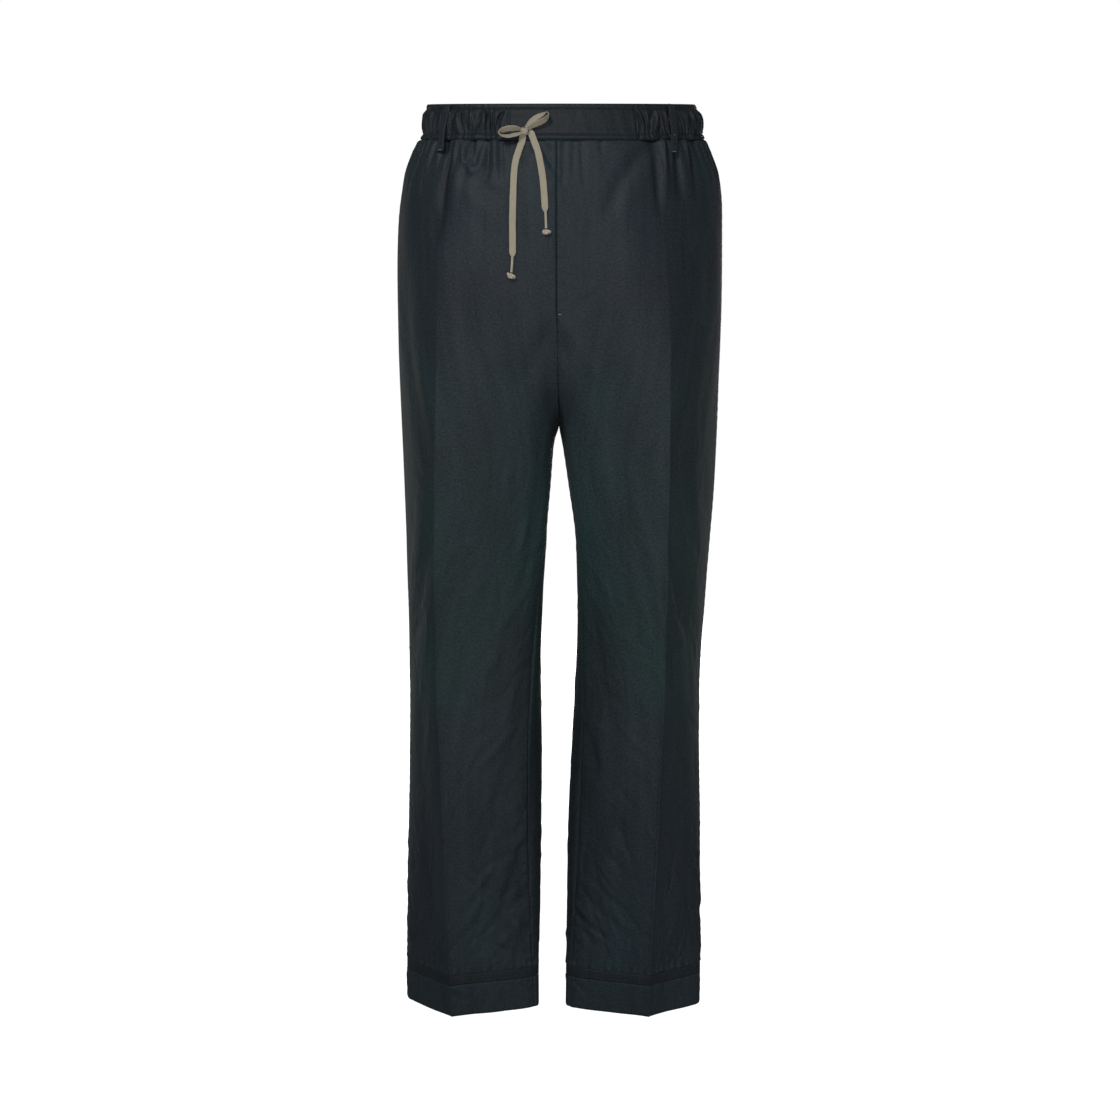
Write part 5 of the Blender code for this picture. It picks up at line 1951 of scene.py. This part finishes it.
@dataclass
class BeltLoops:
    """The belt loops, each a narrow doubled strip tacked at its foot."""

    garment: Garment
    cloth: LustrousCloth
    thread: SewingThread
    tack: SewingThread
    width: float = 9.5
    wall: float = 1.6
    top_off: float = 0.6
    foot_off: float = 1.8
    bow: float = 2.2
    top_drop: float = 0.6
    edge_inset: float = 1.8
    places: tuple[LoopPlace, ...] = (
        LoopPlace("belt_loop_front_right", R, F, 122.5, 130.0, 52.0),
        LoopPlace("belt_loop_front_left", L, F, 124.0, 126.5, 54.0),
        LoopPlace("belt_loop_back", R, B, 0.0, 0.0, 53.0),
    )

    def middle_line(self, loop: LoopPlace) -> tuple[np.ndarray, np.ndarray, np.ndarray]:
        """Middle line of a loop, its outward directions and its width's directions.

        Args:
            loop: Where the loop runs.

        Returns:
            The points and the directions.
        """
        centres, outs, wides = [], [], []
        for down in np.linspace(0, 1, 61):
            drop = self.top_drop + (loop.bottom_drop - self.top_drop) * float(down)
            section = Form.section(loop.side, round(drop, 3))
            if loop.face is Face.FRONT:
                line = section.front
                across = loop.top_across + (loop.bottom_across - loop.top_across) * float(down)
                share = line.share_across(across, loop.side)
            else:
                line = section.back
                share = 1.0
            here = line.at(np.array([share]))[0]
            near = line.at(np.array([min(share + 0.004, 1.0), share - 0.004]))
            step = near[0] - near[1]
            outward = np.array([step[1], -step[0], 0.0])
            outward /= np.linalg.norm(outward)
            outward *= math.copysign(1.0, float(np.dot(outward, here)))
            if loop.face is Face.BACK:
                outward = np.array([0.0, 1.0, 0.0])
            stand = self.top_off + (self.foot_off - self.top_off) * float(down)
            stand += self.bow * math.sin(math.pi * float(down)) + self.wall / 2
            centres.append(here + outward * stand)
            outs.append(outward)
            wides.append(np.cross(outward, [0.0, 0.0, 1.0]))
        return np.array(centres), np.array(outs), np.array(wides)

    def build(self) -> None:
        """Make each loop, its edge stitches and its tack."""
        finish = self.cloth.make()
        stitcher = Stitcher(self.thread.make(), radius=0.2)
        tacker = Stitcher(self.tack.make(), radius=0.26)
        for loop in self.places:
            centres, outs, wides = self.middle_line(loop)
            count = len(centres)
            widths = self.width + 0.35 * np.sin(np.linspace(0, 9, count))
            piece = Mesher.ribbon(f"cloth_{loop.name}", centres, wides, widths, self.wall, finish, 0.15)
            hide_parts(loop.name)
            surface = centres + outs * (self.wall / 2 + 0.02)
            segments = []
            for hand in (-1, 1):
                edge = surface + wides * hand * (self.width / 2 - self.edge_inset)
                segments += stitcher.row(edge[2:-2], outs[2:-2])
            stitcher.sew(f"stitches_{loop.name}", segments)
            foot, out, wide = surface[-3], outs[-3], wides[-3]
            down = np.array([0.0, 0.0, -1.0])
            bars = []
            for i in range(5):
                rise = down * ((i % 2) * 0.42) + out * (0.15 + 0.12 * (i % 2))
                left = foot - wide * (3.0 - 0.25 * (i % 3)) + rise
                right = foot + wide * (3.1 - 0.2 * (i % 2)) + rise + down * (0.25 - 0.08 * i)
                bars.append((left, right, out))
            tacker.sew(f"tack_{loop.name}", bars)


# A place on a tail or a thin cord is its distance across and its drop, and a place on a bow's loop is
# its distance across, up and out from the knot, with the turn of the tape's face in degrees
TapePlace = tuple[float, float]
BowPlace = tuple[float, float, float, float]


@dataclass
class Drawstring:
    """The flat tape tied in a bow at the waist, with its two tails, thin cords and end knots."""

    garment: Garment
    tape: WovenTape
    cord: WovenTape
    width: float = 8.0
    tape_width: float = 7.4
    wall: float = 1.2
    stand: float = 1.1
    loop_end: float = 5.0
    knot_across: float = -37.6
    knot_drop: float = 30.3
    knot_depth: float = 8.0
    knot_gap: float = 0.3
    wrapped_size: tuple[float, float, float] = (8.6, 7.8, 7.6)
    cord_radius: float = 1.5
    strand: float = 0.62
    end_size: float = 7.5
    right_tail: tuple[TapePlace, ...] = (
        (-39.4, 32.5), (-39.8, 37.5), (-41.5, 44), (-45.8, 56), (-48.4, 68), (-49.6, 82),
        (-50.4, 104), (-50.9, 128), (-50.9, 150), (-50.8, 164), (-51.0, 171),
    )
    right_cord: tuple[TapePlace, ...] = ((-51.1, 170), (-51.5, 179), (-52.2, 187.5))
    left_tail: tuple[TapePlace, ...] = (
        (-34.2, 29.6), (-31.0, 31.0), (-28.8, 36.5), (-26.4, 43), (-22.9, 53), (-20.0, 67),
        (-17.6, 82), (-16.2, 98), (-15.4, 112), (-14.7, 120.5),
    )
    left_cord: tuple[TapePlace, ...] = ((-14.6, 119.5), (-14.3, 129), (-14.0, 138))
    right_loop: tuple[BowPlace, ...] = (
        (-3.6, 1.7, 5.2, 34), (-10, 3.0, 7.6, 40), (-18, 2.7, 9.6, 46),
        (-24.4, 0.8, 10.0, 40), (-27.8, -1.9, 9.4, 8), (-25.0, -4.4, 8.6, 18),
        (-18.8, -5.5, 8.0, 28), (-12, -4.2, 7.4, 32), (-4.0, -2.2, 5.6, 34),
    )
    left_loop: tuple[BowPlace, ...] = (
        (1.6, 3.2, 4.4, 52), (7.0, 10.2, 5.0, 48), (13.2, 15.0, 5.8, 46),
        (19.6, 18.0, 6.6, 30), (24.4, 20.4, 7.6, 3), (26.4, 17.6, 8.4, 6),
        (22.6, 12.8, 8.2, 40), (16.0, 9.2, 7.6, 46), (9.6, 6.4, 6.8, 46),
        (3.0, 2.8, 5.6, 44),
    )

    def laid(self, places: Sequence[TapePlace], count: int, out: float) -> tuple[np.ndarray, np.ndarray]:
        """A line that lies over the cloth, eased across its folds, and its outward directions.

        Args:
            places: Given points.
            count: How many points the line gets.
            out: Distance out of the cloth.

        Returns:
            The points and the directions.
        """
        line = smooth_line(places, count)
        spots = [self.garment.spot(float(a), float(d), 0.0) for a, d in line]
        points = np.array([spot for spot, _ in spots])
        outs = np.array([outward for _, outward in spots])
        window = 9
        kernel = np.ones(window) / window
        for grid in (points, outs):
            padded = np.vstack([grid[:1]] * (window // 2) + [grid] + [grid[-1:]] * (window // 2))
            for axis in range(3):
                grid[:, axis] = np.convolve(padded[:, axis], kernel, mode="valid")
        outs = unit(outs)
        return points + outs * out, outs

    def tail(self, hand: str, places: Sequence[TapePlace], count: int) -> tuple[bpy.types.Object, np.ndarray]:
        """One free end of the tape, which narrows into its cord.

        Args:
            hand: The wearer's side in lower case.
            places: Given points.
            count: How many points the line gets.

        Returns:
            The piece and its middle line.
        """
        centres, outs = self.laid(places, count, self.stand + self.wall / 2)
        way = np.gradient(centres, axis=0)
        wides = np.cross(way, outs)
        share = np.linspace(0, 1, count)
        twist = 0.16 * np.sin(share * 11 + (0.7 if hand == "right" else 2.0)) * (1 - share)
        wides = unit(wides) + outs * twist[:, None]
        length = np.linalg.norm(np.diff(centres, axis=0), axis=1).sum()
        left = length * (1 - share)
        widths = self.tape_width * (0.36 + 0.64 * smooth_step(left / 7.0) ** 0.7)
        widths *= 1 + 0.02 * np.sin(share * 40)
        piece = Mesher.ribbon(f"tape_tail_{hand}", centres, wides, widths, self.wall, self.tape_finish, 0.2)
        return piece, centres

    def thin_cord(self, hand: str, places: Sequence[TapePlace]) -> bpy.types.Object:
        """The two-ply cord below a tail.

        Args:
            hand: The wearer's side in lower case.
            places: Given points.

        Returns:
            The piece.
        """
        count = 60
        centres, outs = self.laid(places, count, self.stand + self.cord_radius / 2)
        way = unit(np.gradient(centres, axis=0))
        side = np.cross(way, outs)
        turn = np.linspace(0, 7.5 * math.pi, count)
        plies = []
        for start in (0.0, math.pi):
            off = side * np.cos(turn + start)[:, None] + outs * np.sin(turn + start)[:, None]
            plies.append(centres + off * self.strand * 1.15)
        return self.joined(f"thin_cord_{hand}", plies, np.full(count, self.strand * 1.25))

    def joined(self, name: str, lines: Sequence[np.ndarray], radius: np.ndarray) -> bpy.types.Object:
        """One piece of several round strands.

        Args:
            name: The piece's name.
            lines: The strands' middle lines.
            radius: Radius at each point.

        Returns:
            The piece.
        """
        points, faces, uvs = [], [], []
        count, sides = 0, 8
        for line in lines:
            rings, run, length = Mesher.round_rings(line, radius, sides)
            faces += Mesher.tube_faces(np.arange(len(line) * sides).reshape(len(line), sides) + count)
            points.append(rings.reshape(-1, 3))
            uvs.append(np.stack([run, length], axis=-1).reshape(-1, 2) * MM)
            count += len(line) * sides
        return Mesher.build(name, np.vstack(points), faces, np.vstack(uvs), self.cord_finish, np.zeros(count))

    def end_knot(self, hand: str, foot: np.ndarray, out: np.ndarray, tilt: float) -> bpy.types.Object:
        """The overhand knot at the end of a cord.

        Args:
            hand: The wearer's side in lower case.
            foot: The cord's end.
            out: Outward direction.
            tilt: Its lean in degrees.

        Returns:
            The piece.
        """
        turn = np.linspace(0, 2 * math.pi, 90)
        ring = 2.0 + 0.9 * np.cos(3 * turn)
        across = ring * np.cos(2 * turn)
        up = ring * np.sin(2 * turn) * 0.62
        deep = 1.5 * np.sin(3 * turn)
        lean = math.radians(tilt)
        side = np.array([math.cos(lean), 0.0, math.sin(lean)])
        rise = np.array([-math.sin(lean), 0.0, math.cos(lean)])
        centre = foot + out * (self.end_size / 2 - 0.4) - np.array([0.0, 0.0, self.end_size / 2 + 0.2])
        line = centre + side * (across * 1.32)[:, None] + rise * up[:, None] + out * deep[:, None]
        stubs = {
            "right": np.array([[-3.6, 0.2], [-4.4, 1.4], [-4.9, 2.4]]),
            "left": np.array([[3.4, 0.2], [4.3, -0.3], [5.0, -0.7]]),
        }
        end = centre + side * stubs[hand][:, :1] + rise * stubs[hand][:, 1:]
        return self.joined(f"end_knot_{hand}", [line, smooth_line(end, 90)], np.full(90, 1.25))

    def loop(self, name: str, places: Sequence[BowPlace]) -> tuple[bpy.types.Object, np.ndarray]:
        """One loop of the bow.

        Args:
            name: The piece's name.
            places: Given points.

        Returns:
            The piece and its middle line.
        """
        back, _ = self.garment.spot(self.knot_across, self.knot_drop, 0.0)
        count = 110
        line = smooth_line(places, count)
        centres = back + np.stack([line[:, 0], -line[:, 2], line[:, 1]], axis=-1)
        way = unit(np.gradient(centres, axis=0))
        forward = np.array([0.0, -1.0, 0.0])
        flat = np.cross(way, forward)
        flat = unit(flat)
        angle = np.radians(line[:, 3])[:, None]
        wides = flat * np.sin(angle) + forward * np.cos(angle)
        share = np.linspace(0, 1, count)
        ends = smooth_step(np.minimum(share, 1 - share) / 0.16)
        widths = self.loop_end + (self.width - self.loop_end) * ends
        return Mesher.ribbon(name, centres, wides, widths, self.wall, self.tape_finish, 0.45), centres

    def knot(self) -> bpy.types.Object:
        """The bow's knot: the tape wrapped round itself.

        Returns:
            The piece.
        """
        centre, _ = self.garment.spot(self.knot_across, self.knot_drop, self.knot_depth / 2 + self.knot_gap)
        rows, sides = 61, 40
        polar = np.linspace(0.06, math.pi - 0.06, rows)[:, None]
        turn = np.linspace(0, 2 * math.pi, sides, endpoint=False)[None]

        def soft(value: np.ndarray) -> np.ndarray:
            """Square a round shape up a little."""
            return np.sign(value) * np.abs(value) ** 0.5

        width, depth, rise = self.wrapped_size
        z = soft(np.cos(polar)) * np.ones_like(turn) * rise / 2
        edge = z + 1.5 + 0.3 * np.cos(turn)
        wrap = 1 - 0.2 * bell(edge, 0.4) - 0.14 * bell(z - 0.7 - 0.3 * np.sin(turn), 0.35)
        wrap = wrap - 0.14 * bell(z - 2.6 - 0.3 * np.sin(turn), 0.35)
        x = soft(np.sin(polar)) * soft(np.cos(turn)) * width / 2 * wrap
        y = soft(np.sin(polar)) * soft(np.sin(turn)) * depth / 2 * wrap
        lean = math.radians(-10)
        across = x * math.cos(lean) - z * math.sin(lean)
        up = x * math.sin(lean) + z * math.cos(lean)
        grid = np.stack([across, y, up], axis=-1)
        run = np.cos(polar) * np.ones_like(turn) * 4
        length = turn * np.ones_like(polar) * 5
        return Mesher.tube("tape_knot", centre + grid, run, length, self.tape_finish)

    def build(self) -> None:
        """Make the bow and both free ends, with their cords and end knots."""
        self.tape_finish = self.tape.make()
        self.cord_finish = self.cord.make()
        knot = self.knot()
        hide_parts("drawstring_knot")
        for hand, tail_places, cord_places, loop_places, count, tilt in (
            ("right", self.right_tail, self.right_cord, self.right_loop, 150, -18.0),
            ("left", self.left_tail, self.left_cord, self.left_loop, 110, 3.0),
        ):
            tail, path = self.tail(hand, tail_places, count)
            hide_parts(f"drawstring_tail_{hand}")
            cord = self.thin_cord(hand, cord_places)
            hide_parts(f"drawstring_cord_{hand}")
            foot, out = self.garment.spot(*cord_places[-1], 0.6)
            end = self.end_knot(hand, foot, out, tilt)
            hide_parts(f"drawstring_end_{hand}")
            loop, loop_path = self.loop(f"tape_loop_{hand}", loop_places)
            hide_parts(f"drawstring_loop_{hand}")
            tuple(path[0] * MM)
            (path * MM).tolist()
            tuple(loop_path[0] * MM)
            (loop_path * MM).tolist()


@dataclass
class FrontStitching:
    """The fly's J of topstitching, the tack at its foot, and a small tack on the waistband."""

    garment: Garment
    tack: SewingThread

    def fly(self) -> bpy.types.Object:
        """The J of stitches.

        Returns:
            The piece.
        """
        down = [(FLY_WIDTH, float(drop)) for drop in np.linspace(FLY_START, FLY_BEND_DROP, 60)]
        bend = np.linspace(0, math.pi / 2 - 0.12, 40)[1:]
        depth = FLY_END - FLY_BEND_DROP
        down += [(FLY_WIDTH * math.cos(a), FLY_BEND_DROP + depth * math.sin(a)) for a in bend]
        points, outs = [], []
        for across, drop in down:
            place, out = self.garment.spot(across + read(DEPTHS, "middle", drop), drop, 0.12)
            points.append(place)
            outs.append(out)
        finish = SewingThread("fly_thread", (0.08, 0.083, 0.09)).make()
        stitcher = Stitcher(finish, length=1.6, pitch=2.9, radius=0.24)
        return stitcher.sew("stitches_fly", stitcher.row(np.array(points), np.array(outs)))

    def tack_at(self, name: str, across: float, drop: float, half: float, threads: int,
                out: float = 0.5) -> bpy.types.Object:
        """A short bar of threads across the cloth.

        Args:
            name: The piece's name.
            across: Distance from the middle.
            drop: How far down.
            half: Half its length.
            threads: How many threads it has.
            out: Distance out of the cloth.

        Returns:
            The piece.
        """
        place, outward = self.garment.spot(across, drop, out)
        wide = np.cross(outward, [0.0, 0.0, 1.0])
        wide /= np.linalg.norm(wide)
        down = np.array([0.0, 0.0, -1.0])
        bars = []
        for i in range(threads):
            rise = down * ((i % 3) * 0.4) + outward * (0.1 * (i % 2))
            bars.append((place - wide * half + rise, place + wide * half + rise + down * 0.1, outward))
        return Stitcher(self.tack.make(), radius=0.3).sew(name, bars)

    def build(self) -> None:
        """Make every row and tack."""
        self.fly()
        self.tack_at("tack_fly", 0.9, 234.4, 2.0, 3)
        self.tack_at("tack_band_left", 125.5, 34.0, 1.7, 3, 4.6)


class SoftBox(NamedTuple):
    """A soft box: where it stands and points, its width and height in metres, and its power in watts."""

    name: str
    place: Place
    aim: Place
    size: tuple[float, float]
    power: float


SOFT_BOXES = (
    SoftBox("key", (-0.75, -2.0, 1.35), (0, 0, -0.45), (0.5, 0.5), 35),
    SoftBox("front", (0.2, -3.0, -0.3), (0, 0, -0.5), (1.6, 1.3), 27),
    SoftBox("side_left", (-1.25, -0.95, -0.96), (-0.17, 0, -0.88), (0.5, 0.3), 2.6),
    SoftBox("side_right", (1.25, -0.95, -0.96), (0.17, 0, -0.9), (0.5, 0.3), 5.5),
    SoftBox("rim_left", (-1.5, 1.6, -0.6), (0, 0, -0.6), (0.4, 1.4), 2.2),
    SoftBox("rim_right", (1.5, 1.6, -0.6), (0, 0, -0.6), (0.4, 1.4), 2.2),
    SoftBox("back", (0.3, 2.9, 0.1), (0, 0, -0.45), (1.3, 1.3), 36),
)


@dataclass
class Studio:
    """The camera, the lights and the floor."""

    camera_place: Place = (0.0012, -2.8, -0.152)
    camera_tilt: float = 82.853
    lens: float = 77.85
    sensor: float = 36.0
    floor_size: float = 60.0
    floor_gap: float = 0.001
    room_light: float = 0.13

    def camera(self) -> None:
        """Set the camera at the photograph's viewing angle."""
        data = bpy.data.cameras.new("camera")
        data.lens = self.lens
        data.sensor_width = self.sensor
        item = bpy.data.objects.new("camera", data)
        item.location = self.camera_place
        item.rotation_euler = (math.radians(self.camera_tilt), 0, 0)
        bpy.context.scene.collection.objects.link(item)
        bpy.context.scene.camera = item

    def light(self, box: SoftBox) -> None:
        """Add one soft box.

        Args:
            box: The soft box.
        """
        data = bpy.data.lights.new(box.name, "AREA")
        data.shape = "RECTANGLE"
        data.size, data.size_y = box.size
        data.energy = box.power
        item = bpy.data.objects.new(box.name, data)
        item.location = box.place
        item.rotation_euler = (Vector(box.aim) - Vector(box.place)).to_track_quat("-Z", "Y").to_euler()
        bpy.context.scene.collection.objects.link(item)

    def floor(self) -> None:
        """Lay the floor just under the garment, unseen by its cloth."""
        low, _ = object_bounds()
        half = self.floor_size / 2
        mesh = bpy.data.meshes.new("floor")
        corners = ((-half, -half), (half, -half), (half, half), (-half, half))
        mesh.from_pydata([(x, y, low.z - self.floor_gap) for x, y in corners], [], [(0, 1, 2, 3)])
        mesh.materials.append(PaleFloor().make())
        floor = bpy.data.objects.new("floor", mesh)
        bpy.context.scene.collection.objects.link(floor)
        floor.visible_diffuse = False
        floor.visible_glossy = False
        floor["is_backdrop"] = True

    def world(self) -> None:
        """Make the room, which is white to the camera and dim to the cloth."""
        world = bpy.data.worlds.new("studio")
        world.use_nodes = True
        tree = world.node_tree
        behind = tree.nodes["Background"]
        around = tree.nodes.new("ShaderNodeBackground")
        for background, strength in ((behind, 1.0), (around, self.room_light)):
            background.inputs["Color"].default_value = (1.0, 1.0, 1.0, 1.0)
            background.inputs["Strength"].default_value = strength
        rays = tree.nodes.new("ShaderNodeLightPath")
        mix = tree.nodes.new("ShaderNodeMixShader")
        tree.links.new(rays.outputs["Is Camera Ray"], mix.inputs[0])
        tree.links.new(around.outputs[0], mix.inputs[1])
        tree.links.new(behind.outputs[0], mix.inputs[2])
        tree.links.new(mix.outputs[0], tree.nodes["World Output"].inputs["Surface"])
        bpy.context.scene.world = world

    def build(self) -> None:
        """Make the whole studio."""
        self.camera()
        for box in SOFT_BOXES:
            self.light(box)
        self.floor()
        self.world()
        bpy.context.scene.view_settings.view_transform = "Standard"


def main() -> None:
    """Build every piece in order."""
    logging.basicConfig(level=logging.INFO, format="%(message)s")
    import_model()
    Studio().build()
    garment = Garment()
    LOG.info("surfaces of the four panels are worked out")
    thread = SewingThread("dark_thread", (0.018, 0.022, 0.028))
    tack = SewingThread("tack_thread", (0.17, 0.155, 0.13))
    tape = WovenTape("woven_tape", (0.40, 0.355, 0.27), (0.17, 0.145, 0.10))
    cord = WovenTape("twisted_cord", (0.56, 0.50, 0.40), (0.26, 0.22, 0.16))
    Drawstring(garment, tape, cord).build()
    LegPanels(garment, LustrousCloth("lustrous_cloth")).build()
    LOG.info("panels are made")
    band_cloth = LustrousCloth("band_cloth", top=(0.0108, 0.0132, 0.0172), specular=0.2)
    Waistband(garment, band_cloth, thread).build()
    LOG.info("waistband is made")
    BeltLoops(garment, LustrousCloth("loop_cloth"), thread, tack).build()
    # The hem bands' cloth is rougher than the legs' cloth, and its darker colour is painted shade for the
    # bands' dark look.
    dull_and_shaded = LustrousCloth("hem_band_cloth", low=(0.0108, 0.0134, 0.0166), roughness=0.6)
    HemBands(garment, dull_and_shaded, thread).build()
    inside = LustrousCloth("facing_cloth", roughness=0.7, specular=0.15)
    Facings(garment, inside).build()
    FrontStitching(garment, tack).build()
    LOG.info("trims are made")


if __name__ == "__main__":
    main()
